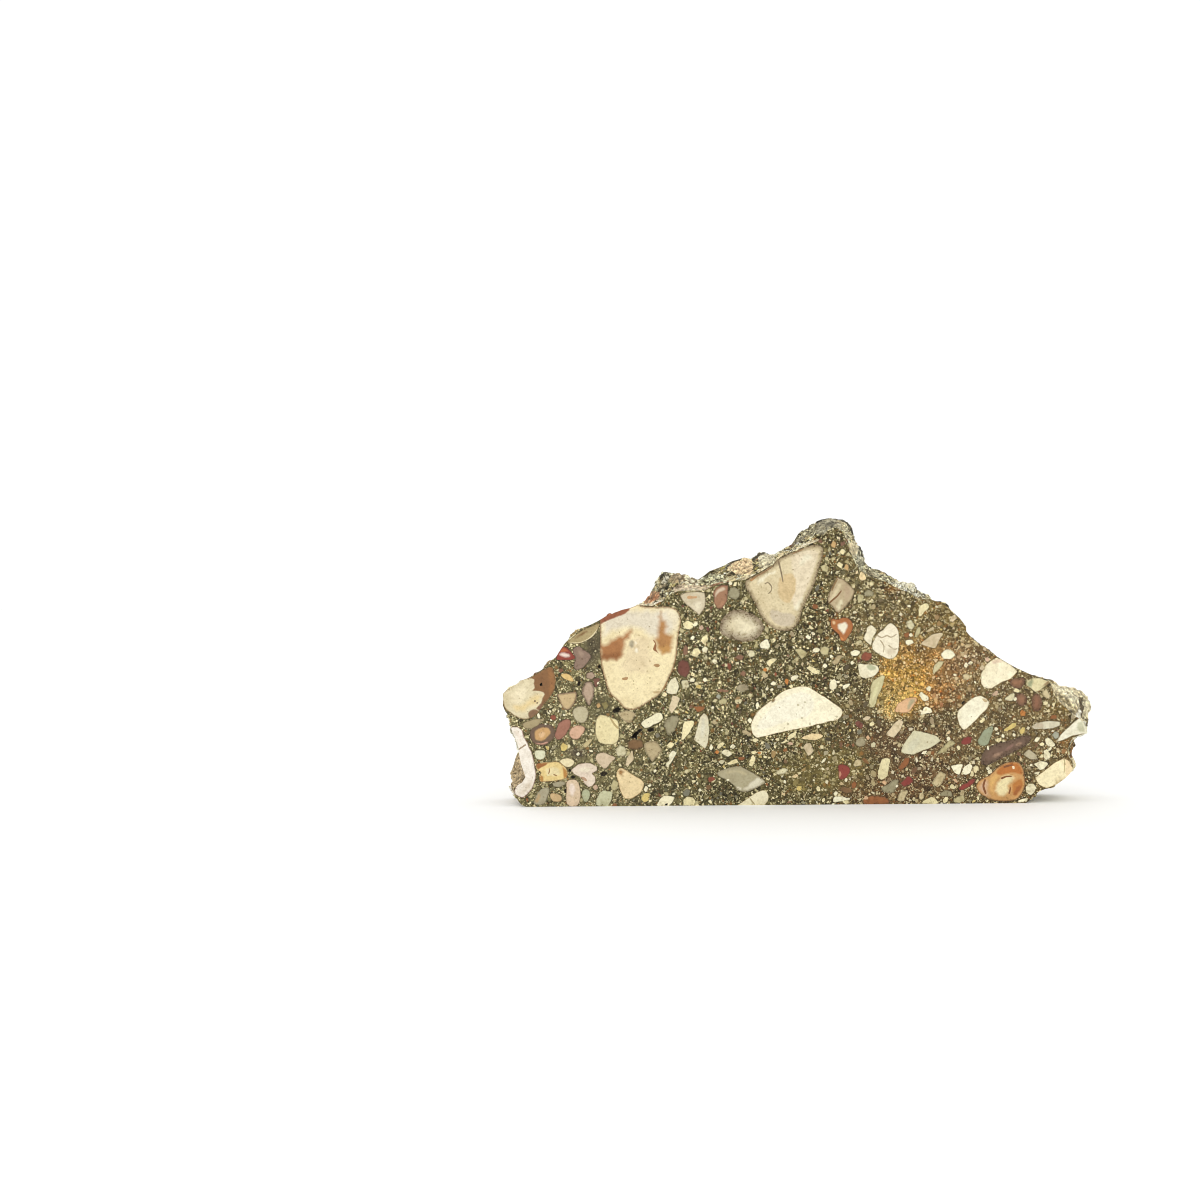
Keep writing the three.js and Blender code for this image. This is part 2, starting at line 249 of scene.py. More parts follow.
LARGE_PEBBLES = (
    Pebble(
        "brown_patched_cobble", "#f2e3b8",
        "600,623 600,635 600,645 600,655 601,662 602,668 604,677 606,685 609,692 613,697 618,701 621,705"
        " 624,708 630,710 636,709 641,707 646,704 652,700 658,696 662,692 665,688 668,681 671,674 674,667"
        " 676,659 677,650 678,641 679,632 681,625 681,618 679,612 676,609 671,607 665,606.5 655,607"
        " 645,606.5 637,604 628,607 616,610 606,614.5 600,617",
        rim="#8c6642", rim_width=0.45,
        patches=(
            Patch("#e2d8c3", (
                "601,618 614,611 628,607 645,607 665,607 678,611 680,620 677,632 664,640 650,640 640,632"
                " 628,630 612,634 602,640",
            ), soft=1.2),
            Patch("#e7d5af", (
                "626,640 640,634 654,638 654,655 660,664 648,674 628,676 616,668 622,658",
            ), soft=1.2),
            Patch("#ece0c4", ("664,606.5 674,608 680,614 680,622 677,634 670,622 662,612",), soft=0.8),
            Patch("#96583a", (
                "597,623 599,617 606,613 616,608.5 629,605 634,604.6 636,607 630.5,609 629.5,611 624,615"
                " 618,617 613,619 605,622.5 600,625",
            ), soft=0.25),
            Patch("#ad7646", (
                "598,652.4 598,643 604.3,642.5 609.8,638.1 618.7,634.8 626.4,629.3 632.4,627.6 634.1,631.5"
                " 630.8,638.1 626.4,643.6 625.8,649.1 626.4,654.6 623.1,659 615.4,661.2 604.3,662.3 600,664",
            ), soft=0.9),
            Patch("#966134", (
                "599,652 605,650 613,652 621,649 625,652 624,657 620,660 612,662 604,662.6 600,664",
            ), soft=0.9),
            Patch("#aca288", ("628.6,641.4 632.4,639.2 635.2,641.4 634.1,647.4 630.8,649.1 628.6,646.3",)),
            Patch("#f5ecd6", ("635,640 638,643 636,646 639,650 637,654 634,651 635,647 634,643",)),
            Patch("#b2804a", (
                "656.2,624.8 657.8,611.6 660.6,608.3 663.9,610.5 665,618.2 669.4,625.9 667.2,631.5"
                " 673.8,633.7 674.3,641.4 673.8,649.1 671.6,653.5 666.1,655.7 660.6,655.2 656.2,651.3"
                " 652.8,649.1 655,643.6 652.3,638.1 656.2,632.6",
            ), soft=0.9),
            Patch("#c09050", ("657,648 662,644 670,645 673,649 671,653 666,655.4 661,655",), soft=0.8),
            Patch("#94643c", (
                "652.6,640 655,641 656.6,646 656,649.4 659,653.6 656,651.6 652.8,649.1 655,643.6",
            )),
            Patch("#b08c60", ("622,678 628,677 627,680 623,680", "653,665 657,663.6 660,665.6 657,667.6",)),
            Patch("#bea070", ("651.7,691 656,690 660.6,690.4 659,693.6 654,694",), soft=0.5),
            Patch("#c6a068", (
                "662,690 668,679 672,670 675,660 676.5,650 678,652 676,664 672,675 668,684 664,691",
            ), soft=0.3),
        ),
    ),
    Pebble(
        "triangular_cobble", "#dccda8",
        "745,584 748,578.5 757,574.5 765,570 773,565 781,557.5 788,554 795,551.5 802,548.5 808,546.5 814,545"
        " 820,546 823,549 823,555 821,561 819,568 817,575 815,582 812,589 809,596 806,602 803,608 801,614"
        " 799,620 797,625 793,629 788,630.5 781,631 776,630 771,627 767,624 764,620 760,614 757,608 754,602"
        " 751,596 747,590",
        rim="#8d7a5c", rim_width=0.9, soundness=0.9,
        patches=(
            Patch("#e7d9bd", (
                "790,556 804,550 816,549 819,555 815,568 811,580 806,592 800,604 796,612 791,600 789,586"
                " 792,572",
            )),
            Patch("#d8c093", ("779,578 790,572 797,578 796,592 790,604 782,602 777,592",)),
            Patch("#c08850", (
                "750,579.4 757,574.6 765,570 771,566 773,564.6 772,567.4 765,572.4 757,577 751.4,581.4",
                "793,552 800,549 804,548 803,550 797,552.4 793,554",
            )),
            Patch("#efe8cf", (
                "761,576 768,572 776,570 775,574 768,577 763,582 758,586 756,582",
                "800,556 808,553 814,556 810,562 803,566 798,564",
                "798,600 802,596 803,602 799,610 794,612 794,606",
            ), soft=0.9),
            Patch("#cdbfa6", ("772,608 782,612 793,613 797,618 793,625 784,628 775,624 769,616",)),
            Patch("#8a795f", (
                "777.6,556 779,560 781,568 783.5,581 782.4,581.5 780,570 777.5,562",
                "764.6,583.6 767.6,582 770.6,584 772.4,588 771,592 768.4,594 768,593.4 770.4,591 771.4,588"
                " 769.8,585 767.6,583 765.2,584.4",
            )),
        ),
    ),
    Pebble(
        "half_moon_pebble", "#fbf4d8",
        "751,729 751,725 753,719 757,712 762,707 768,702.5 772,700 775,697.5 780,693.5 785,690.5 790,688.5"
        " 796,687 803,686 808,687 812,689 818,693 825,697 832,702 838,706 841,709 842.5,712.5 841,717"
        " 836,720 829,721.5 819,724 810,726.5 800,728.5 790,730.5 780,732.5 770,735 762,737 757,738 754,736"
        " 752,733",
        rim="#c9b083", rim_width=0.12,
        patches=(
            Patch("#f8f3de", (
                "758,722 770,708 786,695 800,691 812,695 815,708 806,718 786,723 768,729 758,730",
            )),
            Patch("#7d6a42", (
                "771,699.5 775,697.5 776,700 774,703 771,703.5",
                "752,716.6 758,709 768,701.6 769,703 760,710.6 754,718",
            )),
            Patch("#cfc6a6", (
                "797,704 799,704 799,706 797,706",
                "801,717 803,717.4 803,719 801,719",
                "787,723 789,723 789,725 787,725",
                "809,722.6 811,723 811,725 809,725",
                "804,701.4 806,701.6 806,703 804,703",
                "835,716 838,716 837,718",
            )),
        ),
    ),
    Pebble(
        "left_shoulder_pebble", "#e2d6b4",
        "502.1,694.2 503,692.3 511.5,685.1 520.6,679.7 532.3,676.6 540.4,671.1 547.6,667.1 552.2,667.5"
        " 554,672.5 555.8,679.7 554,690.5 549.4,697.8 544.9,703.2 540.4,709.5 535.9,714.9 529.6,718.5"
        " 522.4,719 515.1,716.7 508.8,712.2 504.3,706.8 502.5,701.4",
        rim="#8a6a42", rim_width=0.3,
        patches=(
            Patch("#e4ce9a", (
                "512,704 520,703 529,697 535,692 541,693 544,695 541,701 537,706 531,708 527,712 520,714"
                " 513,711",
            ), soft=0.8),
            Patch("#f0e4c4", ("508,692 516,688 524,685 529,688 527,698 520,705 512,704 508,699",), soft=0.8),
            Patch("#88603a", (
                "530,678.6 534,674 540.4,669.5 548.5,665 553.6,665 556,672.5 558,679.7 557,690.5 551.4,699.8"
                " 546.9,705.2 542.3,710.6 536.8,709.5 535.9,707.7 540.4,703.2 542.2,697.8 544,694.2"
                " 542.2,692.3 535.9,691.4 531.4,691 534.1,687.8 533.2,683.3 533.6,679.7",
            ), soft=0.2),
            Patch("#986a3e", (
                "546,670 552,668 554,673 555.6,680 554,690 549,696 547,690 549,682",
            ), soft=0.5),
            Patch("#805c48", ("536.6,708 541,703.4 545,700 546.6,702 543,707 539,710.6",), soft=0.3),
            Patch("#86664a", (
                "528.6,711 533,708.6 537.6,709.6 538.6,712 534,716.6 529.4,718.6 527.6,715",
            ), soft=0.25),
            Patch("#5a422c", (
                "534,700.6 535.4,700.2 535.8,701.4 534.6,702",
                "536.4,702.6 537.6,702.2 537.8,703.4 536.6,703.6",
            )),
        ),
    ),
    Pebble(
        "white_flank_pebble", "#f3ebe0",
        "508.6,727.4 517.5,726.8 522.3,730.9 524.3,737.4 528.2,744.2 531.6,752 534,761.7 535.9,771.4"
        " 535.5,779.2 532,788.9 527.2,794.8 523.3,797.7 518.4,796.7 514.5,792.8 515.4,787 520.3,781"
        " 523.2,776.3 520.8,767.5 518.3,759.7 515.9,751 514.5,744.2 512,739.3 508.6,733.5",
        rim="#845444", rim_width=0.22,
        patches=(
            Patch("#ddd0bd", (
                "523,786 528,780 534,778 534.5,784 531,790 526,795.6 520,797.4 516,794",
            ), soft=0.8),
            Patch("#a08a70", ("518.6,748.6 522,746.4 525,744.2 526,745.4 521,748.6 519,750",)),
            Patch("#eee2d4", ("514,732 518,729 521,733 523,739 521,744 517.6,738",), soft=0.5),
        ),
    ),
    Pebble(
        "fuzzy_ellipse_pebble", "#ebe1c3",
        "720,626 720.6,622 722,619 725,615.4 728,613 731,611.2 735,610 742,610 746,611 750,613 754,615"
        " 757,617 760,619.5 762,622 764,627 763.6,630 762,633 760,636 757,638 754,640 750,641 743,642"
        " 735,640 731,638.8 727,637 723.6,635.4 721,633 720,630",
        rim="#8a7860", rim_width=2.3,
    ),
    Pebble(
        "grey_lozenge_pebble", "#b0a788",
        "717,773 719,771 722,769.6 728,768 736,766.2 742,767 748,770 754,773.4 760,777 764,780 765.4,782"
        " 764,784 761,785.6 757,788 752,790 746,792 740,791.4 736,789.4 734,786 729,781.4 723,778.4"
        " 718.6,776",
        rim="#857b63", rim_width=0.2,
        patches=(
            Patch("#dcd6bf", (
                "742,790 747,785 753,780 757,776.4 761,778.4 764.6,781.6 761,785 755,788.4 747,791.4",
                "736,786 742,787.5 741,790.6 737,789.4",
            )),
            Patch("#c4b995", ("724,772.6 735,769.4 743,770.4 749,774.6 745,776 736,773 728,774.6",)),
        ),
    ),
    Pebble(
        "orange_agate_pebble", "#ce9e62",
        "976,784.7 981,779 989.5,774.9 996.5,767.9 1006.3,762.3 1016,761.6 1021.7,765 1024.5,773.5"
        " 1025.3,784.7 1021.7,794.5 1014.7,800 1002,801.6 988,798.8 978.2,791.7",
        rim="#6e4a2c", rim_width=0.3,
        patches=(
            Patch("#d4b090", (
                "978,786 982,781 988,778 990,784 988.6,790 992,797 986,797 980,792",
            ), soft=0.6),
            Patch("#bc7432", (
                "997,769 1004,764 1012,762 1019,763.6 1022.6,770 1022,776 1014,773.6 1006,774 1000,776"
                " 996,774",
            ), soft=0.35),
            Patch("#deb26c", (
                "989,778 995,773 1001,776 997,781 994,788 995,796 990.6,794 988.6,787",
            ), soft=0.5),
            Patch("#f0e2b2", (
                "998,779 1004,775 1011,774 1016,777 1014,782 1009,786 1010,792 1004,797 997,796.6 994,790"
                " 995,784",
            ), soft=0.6),
            Patch("#bc7a38", (
                "1013,782 1018,778.6 1023,779 1024,786 1020,793 1014,796.6 1011,792 1011.6,786",
            ), soft=0.4),
            Patch("#a4622e", ("1016,787 1020,785 1022.4,787 1019,793 1015,796 1012,794.6",), soft=0.3),
            Patch("#f6e8c8", ("1012.4,766 1014.4,766.4 1014.4,769 1012.6,768.6",)),
            Patch("#82502a", (
                "983,783 984.6,779 986,780 984.4,786 986.6,793 985,794 982.4,787",
                "1001,777.6 1007,775.6 1012,776 1011,777 1006,777.4 1002,779.4",
                "1010,786 1011,789 1009.6,794 1008.4,793 1009.6,789",
                "1004,766 1010,764.4 1014,765 1009,766.6 1004,768",
            )),
        ),
    ),
    Pebble(
        "cream_corner_pebble", "#faf2d4",
        "981,673.9 986.7,664 996.5,656.7 1007.7,663 1018.2,671 1011.9,678 1002,682.3 990.9,688.6 983.9,687.9"
        " 981,683.7",
        rim="#beac80", rim_width=0.15, rounded=False,
        patches=(
            Patch("#e4ceb2", ("992,660.6 998,657.6 1004,661.6 998,664 993,664.6",), soft=0.4),
        ),
    ),
    Pebble(
        "white_egg_pebble", "#f6f1d8",
        "958,711 962,707 966,703 970,700 975,697 980,695.6 984,697 987.6,700 989,703 988,707 985,711 981,715"
        " 977,719 973,723 969,727 964,730 961,727 959,723 957.6,717",
        rim="#d5c39c", rim_width=0.15,
        patches=(
            Patch("#cdb68a", ("982,698.4 986,699.4 987,702 984,701.6",)),
        ),
    ),
    Pebble(
        "cream_flank_pebble", "#f8ecc4",
        "1034.4,777.7 1044.2,770.7 1055.4,762.3 1063.8,758 1069.5,760.9 1073,767.9 1072.3,773.5 1065.2,779"
        " 1056.8,784.7 1047,788.2 1038.6,784.7",
        rim="#b49664", rim_width=0.14, rounded=False,
        patches=(
            Patch("#f0dab0", (
                "1065,758.6 1069.5,760.9 1073,767.9 1072.3,773.5 1066,778 1064.6,768",
            ), soft=0.3),
            Patch("#c4b284", ("1064.4,758 1065.2,764 1064.4,773 1063.7,773 1064.2,765 1063.6,758.6",)),
        ),
    ),
    Pebble(
        "white_spike_pebble", "#f0ecd6",
        "1056,742 1061,734 1069.5,725.8 1076.5,719.6 1080.7,716.4 1084.5,720.6 1087.3,728 1087.3,734.2"
        " 1079.3,734.6 1072.3,736 1063.8,740.2",
        rim="#968862", rim_width=0.16, rounded=False,
        patches=(
            Patch("#cac8aa", ("1078,722 1083,721 1086,728.6 1086,733.4 1079,732 1076,728",), soft=0.4),
        ),
    ),
    Pebble(
        "purple_banded_pebble", "#765c4c",
        "980.3,760.9 985.3,749.6 996.5,744 1011.9,739.8 1023,735.6 1031.6,737 1026,745.4 1013.3,752.4"
        " 999.3,759.5 988,765 982.5,765",
        rim="#64503e", rim_width=1.2,
        patches=(
            Patch("#b4927a", (
                "992,756 997,752 1003,751.6 1001,756 995,758",
                "1014,746 1018,742.4 1024,741.4 1021,745.6",
            ), soft=0.9),
            Patch("#88685a", ("1005,750 1012,744 1014,745 1008,751",)),
        ),
    ),
    Pebble(
        "grey_green_trapezoid", "#dcd7b8",
        "912.5,731 915,730 921,731.5 931,734 937,736.5 940.5,740.5 937,744 930,748 921,751.5 913,754.8"
        " 903,753.5 901,751 903,745 907,739.5 910,735",
        rim="#b3aa84", rim_width=0.14, rounded=False,
        patches=(
            Patch("#dad7bc", ("906,749 911,740 918,736 921,742 915,749 909,752",)),
        ),
    ),
    Pebble(
        "cracked_white_left", "#ece4c8",
        "866,632 866.6,628 869,625.6 872,625 874.6,627.6 876.6,631 874.6,635 872.4,639 871.4,645 868,643.6"
        " 865,640.6 863.6,638",
        rim="#a79a78", rim_width=0.14,
    ),
    Pebble(
        "cracked_white_right", "#f1e8d0",
        "874,640 876,636 878,633.4 883,629.6 887,625 891,623.2 895,626 898,630.6 899,636 899.4,643 899,650"
        " 897.6,654 895,657 890,659 884,657.4 878,653.6 873,650 872,645.4",
        rim="#a79a78", rim_width=0.14,
        patches=(
            Patch("#b8a98a", (
                "877.4,634.6 882,637 887,634.6 891,636.6 896,634 896.4,635 891,638 887,636.2 882,638.4"
                " 876.8,635.8",
                "881,640 884.6,646 883.8,652 883,652 883.4,646.4 880,641",
                "889,645 894,648.6 897,648 897,649.2 893.6,650 888.4,646",
            )),
            Patch("#ddd0b6", ("886,650 892,646 896,651 893,656 887,656",)),
        ),
    ),
    Pebble(
        "rust_ringed_pebble", "#ad6c3a",
        "832,618 835,619 838,619.4 843,617.6 848,618.2 852,622 853.2,627 851.4,632 848.6,636 846.4,640"
        " 843.4,641.6 840.6,639.6 838.6,635 834.6,631 831.4,627 830.6,622",
        rim="#7c4222", rim_width=0.16,
        patches=(
            Patch("#efe7cf", (
                "837.4,624 840,622.4 843.6,621.6 847,622.4 848.4,626 846.6,630 844.8,634 843,635.6 841,632.6"
                " 838.4,629.6 837,627",
            )),
            Patch("#d9b98c", ("832,621 835,620.6 836,623.4 834,625 832,624",)),
            Patch("#d28a4a", ("839,636 842,637.6 844,639.4 842,640.6 840,638.8",)),
        ),
    ),
    Pebble(
        "banded_fawn_pebble", "#beac8a",
        "837.2,577 842,578.6 849,584 855.2,590.6 853.6,596 850,601.7 844,609 839.2,613.4 835.6,611.6"
        " 832.6,607 828.4,603 827.2,599 830,590.8 833.6,583",
        rim="#766042", rim_width=0.3, rounded=False,
        patches=(
            Patch("#d6c8a4", ("829,600 833,592 838,583 843,584 841,590 836,597 832,603",), soft=0.4),
            Patch("#baa486", ("842,584 848,586 853,591 850,598 846,602 843,596 844,590",), soft=0.5),
            Patch("#dcd2b0", ("836,604 840,599 844,600 843,606 839,611 836,608",), soft=0.4),
            Patch("#7c5834", (
                "829,602.4 833,598.4 836.6,595.6 840.8,590.6 841.6,591.4 838,596.4 834,600 830,603.4",
            )),
            Patch("#96784c", ("834,583.6 837,579 838,579.6 835,585 832.6,590.6 831.4,590",)),
        ),
    ),
    Pebble(
        "heart_pebble", "#ecd7aa",
        "617,771.6 619,768.6 622,768 627,770 632,774 636.6,777 641,779.4 644,783.4 643,788 640.4,793"
        " 635.6,796 630.4,798.8 625.6,799 622.4,795.6 620,789 618,782 616.2,776.6",
        rim="#b48f5c", rim_width=0.16,
        patches=(
            Patch("#a17845", ("617.4,771 620,769 624,770.4 626,773 623,774 625,777.4 621.6,777 618.6,775",)),
        ),
    ),
    Pebble(
        "cream_block_pebble", "#e8dbac",
        "595.3,734.5 595.3,724.7 598.2,716 604,715 612.8,717.9 618.1,720.8 619.1,729.6 618.6,739.3"
        " 614.7,744.2 607,744.7 600.1,743.2 597.2,739.3",
        rim="#807450", rim_width=0.2,
        patches=(
            Patch("#b6a06e", ("609.6,718 612,719 615,723.6 618.6,727.6 617.8,729 613.6,725",)),
        ),
    ),
    Pebble(
        "gold_banded_pebble", "#e8d090",
        "535.5,766.6 536.9,763.6 541.8,762.7 548.6,762.2 556.4,761.7 561.2,763.2 566.1,767.5 568,772.4"
        " 567.1,777.3 565.1,779.2 558.3,780.2 550.5,781.6 543.7,781.6 539.8,781.1 538.9,776.3 540.8,772.4"
        " 536.9,770.4",
        rim="#865c34", rim_width=0.16,
        patches=(
            Patch("#9e6634", (
                "535.6,766.4 537,763.6 542,762.7 548,762.6 546,765.6 541,768 538,770.4",
            ), soft=0.2),
            Patch("#b88442", (
                "540,775 544,776.6 543.6,781.4 540,781",
                "562,766 566,769 567.6,773 566.6,777.6 563.6,778.6 562.6,772.6",
            ), soft=0.25),
            Patch("#f2e4b6", ("546,768 555,766 560,770 559,776 550,777.6 545,773",), soft=0.5),
            Patch("#966c3e", (
                "549,767.6 550,770.6 549,774 548.2,773.6 549,770.6",
                "554,774 557,775.4 556.8,776.2 553.4,775",
            )),
        ),
    ),
    Pebble(
        "pink_white_pebble", "#e6d6c4",
        "570.5,770.4 573.9,767.5 578.7,763.6 585.5,762.7 591.4,763.6 597.2,766.6 597.2,770.4 591.4,773.4"
        " 595.8,777.3 595.3,782.1 592.4,786 588.5,787.5 584.6,784.1 582.6,779.2 578.7,776.3 573.9,774.3",
        rim="#8e725a", rim_width=0.16, rounded=False,
        patches=(
            Patch("#ebe0ca", ("578,768.4 586,766 592,768 588,773 581,773",), soft=0.4),
            Patch("#ba987a", ("580.6,777.4 584,777 587,780 586,781.4 583,779.6",)),
        ),
    ),
    Pebble(
        "pink_tall_pebble", "#dcc5a8",
        "566.1,783.1 569,779.7 574.8,779.2 578.7,783.1 580.7,791.8 580.2,799.6 577.8,805.5 571.9,806.4"
        " 567.1,804.5 565.6,797.7 566.6,790.9",
        rim="#8c725a", rim_width=0.16,
        patches=(
            Patch("#eeded2", ("569,784 574,783 576,790 573,797 569,793",), soft=0.4),
        ),
    ),
    Pebble(
        "pink_cream_pebble", "#d6caae",
        "680,595.4 684,593 690,591.6 697,591.6 704.6,592.4 705.6,599 705.3,606.7 702.6,611.4 699.4,615.4"
        " 694.6,611.6 690,607.5 685.6,604.4 682.4,601.4",
        rim="#806e52", rim_width=0.25, rounded=False,
        patches=(
            Patch("#cea478", (
                "687,597 690,595.6 693,596.4 696.6,596 697,598 692,598.6 688.6,599",
            ), soft=0.2),
            Patch("#e2d8be", ("692,603 698,599 703,603 702,608 698,611 694,607",), soft=0.6),
        ),
    ),
    Pebble(
        "red_pink_pebble", "#a07658",
        "713.4,592 716,588 722,585 728.4,585.6 728,593 727,600 724.6,605.4 721.4,608.8 717,608.6 714,603",
        rim="#744c3c", rim_width=0.25, rounded=False,
        patches=(
            Patch("#cebaa0", (
                "715,591.6 718,588.6 724,586.4 725.6,590 720,592.6 717,596 715.4,600 714.4,597",
            ), soft=0.3),
            Patch("#b08262", ("719,604 723,600 724.6,603 721,607",), soft=0.2),
        ),
    ),
    Pebble(
        "pale_wedge_pebble", "#e2dcc0",
        "700,717 704,713 707,715 709,720 709.4,730 708.6,738 707,745 705,749 701,746 697,742.4 693,740"
        " 695,736 697,728 698.8,722",
        rim="#a99c77", rim_width=0.14, rounded=False,
        patches=(
            Patch("#e0dcc6", ("701,720 704.6,717 706,726 704,738 700,738 700,728",)),
        ),
    ),
    Pebble(
        "foot_cream_pebble", "#ece4c4",
        "736,806 744,801 750,796.4 756,792.4 763,790 766,791 769,796 768,801.4 764,805.4",
        rim="#b3a170", rim_width=0.14, rounded=False,
        patches=(
            Patch("#a99b72", ("749.6,799 751,798.6 755.6,805.4 754.4,805.6",)),
        ),
    ),
    Pebble(
        "salmon_pebble", "#e2b88e",
        "895,710 897.7,703.6 905.9,698.2 915.9,697.3 916.8,700 913.2,707.3 908.6,712.7 902.3,712.7"
        " 895.9,711.8",
        rim="#a8764e", rim_width=0.14, rounded=False,
        patches=(
            Patch("#b2a684", ("909,699 915,698.4 915.6,701 911,708 907.6,711 907,705",), soft=0.4),
        ),
    ),
    Pebble(
        "sage_strip_pebble", "#d0c89c",
        "882.3,675 885,676.4 883.2,683.6 880.5,690.9 877.7,696.4 875.9,703.6 873.2,707.3 869.5,707.3"
        " 868.6,701.8 870.5,694.5 870.5,687.3 873.2,680.9 877.7,677.3",
        rim="#9a9468", rim_width=0.14, rounded=False,
        patches=(
            Patch("#dedaac", ("871,704 872,694 875,686 880,680 879,688 875,698",), soft=0.3),
        ),
    ),
    Pebble(
        "red_banded_pebble", "#904030",
        "555.8,659.4 557.6,654.4 561.2,648.1 564.8,646.3 569.3,649.9 572.9,654.4 575.2,657.6 572,659.4"
        " 566.6,659.9 561.2,660.3 556.7,659.9",
        rim="#6a3228", rim_width=0.14,
        patches=(
            Patch("#b46236", ("560,650 563.6,647.4 567,649 570,652 566,652 561,652.6",), soft=0.25),
            Patch("#ecd8cc", (
                "558,653.8 561.2,652 566.6,652.4 570.2,654.4 570.2,657.1 566.6,658.1 561.2,656.7",
            )),
        ),
    ),
    Pebble(
        "mauve_pebble", "#907868",
        "573.8,648.1 579.2,646.3 584.6,649.9 589.2,653.5 591,657.1 588.3,661.7 583.7,667.1 579.2,669.8"
        " 575.6,669.8 573.8,665.3 575.6,658.1 572.9,652.6",
        rim="#604e42", rim_width=0.2,
        patches=(
            Patch("#a48c7a", ("577,650.6 581,650 585,654 582,658 578,655",), soft=0.35),
        ),
    ),
    Pebble(
        "grey_gold_pebble", "#b09e72",
        "566.6,641.6 570,639.6 575,635 580,631.4 586,628 592,626 598,623.6 600,624.6 597,631 592,637.4"
        " 585,641.4 578,643.6 570,643.6",
        rim="#6f5b38", rim_width=0.16,
        patches=(
            Patch("#e3d6ae", (
                "569,642.6 580,642 588,638.6 594,633 597,629 598,630 594,636.4 587,641.4 578,644.4 570,644.4",
            )),
            Patch("#7f5c33", ("574,637.6 580,633 587,630 588,632.6 581,636.6 575,640",)),
        ),
    ),
    Pebble(
        "orange_tan_pebble", "#705a48",
        "530,733 533,727 538,724.4 544,723.6 551,725 554.6,729 555,735 551,741 544,745.6 536,744.4 531,740",
        rim="#5e4a38", rim_width=0.3,
        patches=(
            Patch("#cca26c", (
                "534,734.5 535.9,729.6 540.8,727.2 546.6,726.7 550.5,729.6 551,733.5 547.6,737.4 543.7,740.8"
                " 538.9,741.3 535,739.3",
            ), soft=0.3),
            Patch("#deba8e", ("538,734 542,731 546,733 544,737 540,738",), soft=0.3),
            Patch("#c49682", ("535,742.6 541,743.4 547,741.6 548,742.8 542,745.2 536,744.4",)),
        ),
    ),
    Pebble(
        "deep_red_pebble", "#8f3f34",
        "838.5,771 838,766 841,764.4 845,765 849,767 850,771 848,775.4 844,779.2 840,779.6 838.4,776",
        rim="#6a2b25", rim_width=0.14,
        patches=(
            Patch("#c88d74", ("838,773 840,771 841.6,774 839.6,778 838,776",)),
        ),
    ),
    Pebble(
        "pale_rim_slab_pebble", "#dcd6be",
        "1030.9,726.5 1035.8,723 1044.2,721.6 1051.2,720.9 1060.3,721.6 1060.3,725.8 1052.6,728.6"
        " 1042.8,729.3 1034.4,729.3",
        rim="#827254", rim_width=0.14, rounded=False,
        patches=(
            Patch("#c4b69c", ("1031,726.6 1036,723 1043,722 1044,728.8 1034.4,729",), soft=0.4),
        ),
    ),
    Pebble(
        "green_beige_pebble", "#e2d8ac",
        "1026,683.7 1030.2,678.8 1038.6,677.8 1050.4,678.2 1051.8,681 1041.4,689.3 1035.8,692.1 1030.2,687.9",
        rim="#948a62", rim_width=0.16,
        patches=(
            Patch("#9ea27e", ("1026,683.6 1030,679 1034,679 1033,684 1032,688.6 1029,687",), soft=0.4),
            Patch("#967650", ("1041,688 1044,683 1050,679 1051.6,681 1046,686",), soft=0.4),
        ),
    ),
    Pebble(
        "cream_grey_eye", "#f0eace",
        "857.7,663.6 864,664 873.2,664 877.7,666.4 879,670.9 875,675.5 866.8,678.2 860.5,676.4 858.6,670.9",
        rim="#968a64", rim_width=0.14,
        patches=(
            Patch("#bcbe9c", ("866,666 869,663.6 874,665 877,668 873,671 868,670",), soft=0.3),
        ),
    ),
    Pebble(
        "beige_mid_left", "#ccb488",
        "557.6,694.2 561.2,693.2 566.6,693.2 572,692.3 576.1,692.3 576.5,697.8 574.7,703.2 570.2,708.6"
        " 566.6,709.9 563,707.7 560.3,703.2 558,697.8",
        rim="#7a604c", rim_width=0.42,
    ),
    Pebble(
        "grey_beige_round", "#beb494",
        "572,712.2 574.7,707.7 581,705.9 586.4,707.7 588.3,713.1 587.3,719.4 583.7,723 579.2,723 574.7,719.4",
        rim="#786a54", rim_width=0.2,
    ),
    Pebble(
        "mauve_tall", "#b8a08a",
        "584.6,683.3 589.2,681.1 592.8,683.3 594.6,689.6 593.7,696 591,702.3 589.2,705.4 587.3,703.2"
        " 584.6,698.7 582.4,693.2 582.8,687.8",
        rim="#705c4c", rim_width=0.45,
    ),
    Pebble(
        "mauve_small", "#b09884",
        "586.4,673.4 592.8,671.6 595.5,676.1 591.9,679.7 586.4,677.9",
        rim="#705c4c", rim_width=0.15, rounded=False,
    ),
    Pebble(
        "red_brown_kite", "#7c5242",
        "592.8,678.8 600,677.9 598.2,685.1 595.5,687.8 593.7,683.3",
        rim="#5c4032", rim_width=0.1, rounded=False,
    ),
    Pebble(
        "yellow_lozenge", "#e4c484",
        "561.2,674.3 566.6,673.4 572,677 573.8,680.6 571.1,682 565.7,679.7 562.1,677",
        rim="#967648", rim_width=0.12,
    ),
    Pebble(
        "tan_grey_long", "#ac9d78",
        "523.3,723 529.6,720.3 536.8,718.5 543.1,718.5 544.9,720.3 540.4,723 536.8,726.6 530.5,728.9"
        " 525.1,728.4 522.8,725.7",
        rim="#6e5e42", rim_width=0.2,
    ),
    Pebble(
        "red_oval", "#a06e5a",
        "555.4,732.5 558.3,723.8 564.1,719.4 569,718.9 571.4,721.8 570,727.6 566.1,734.5 561.2,738.8"
        " 557.3,739.3 554.9,736.4",
        rim="#6a483a", rim_width=0.22,
    ),
    Pebble(
        "pink_oval", "#d6ae92",
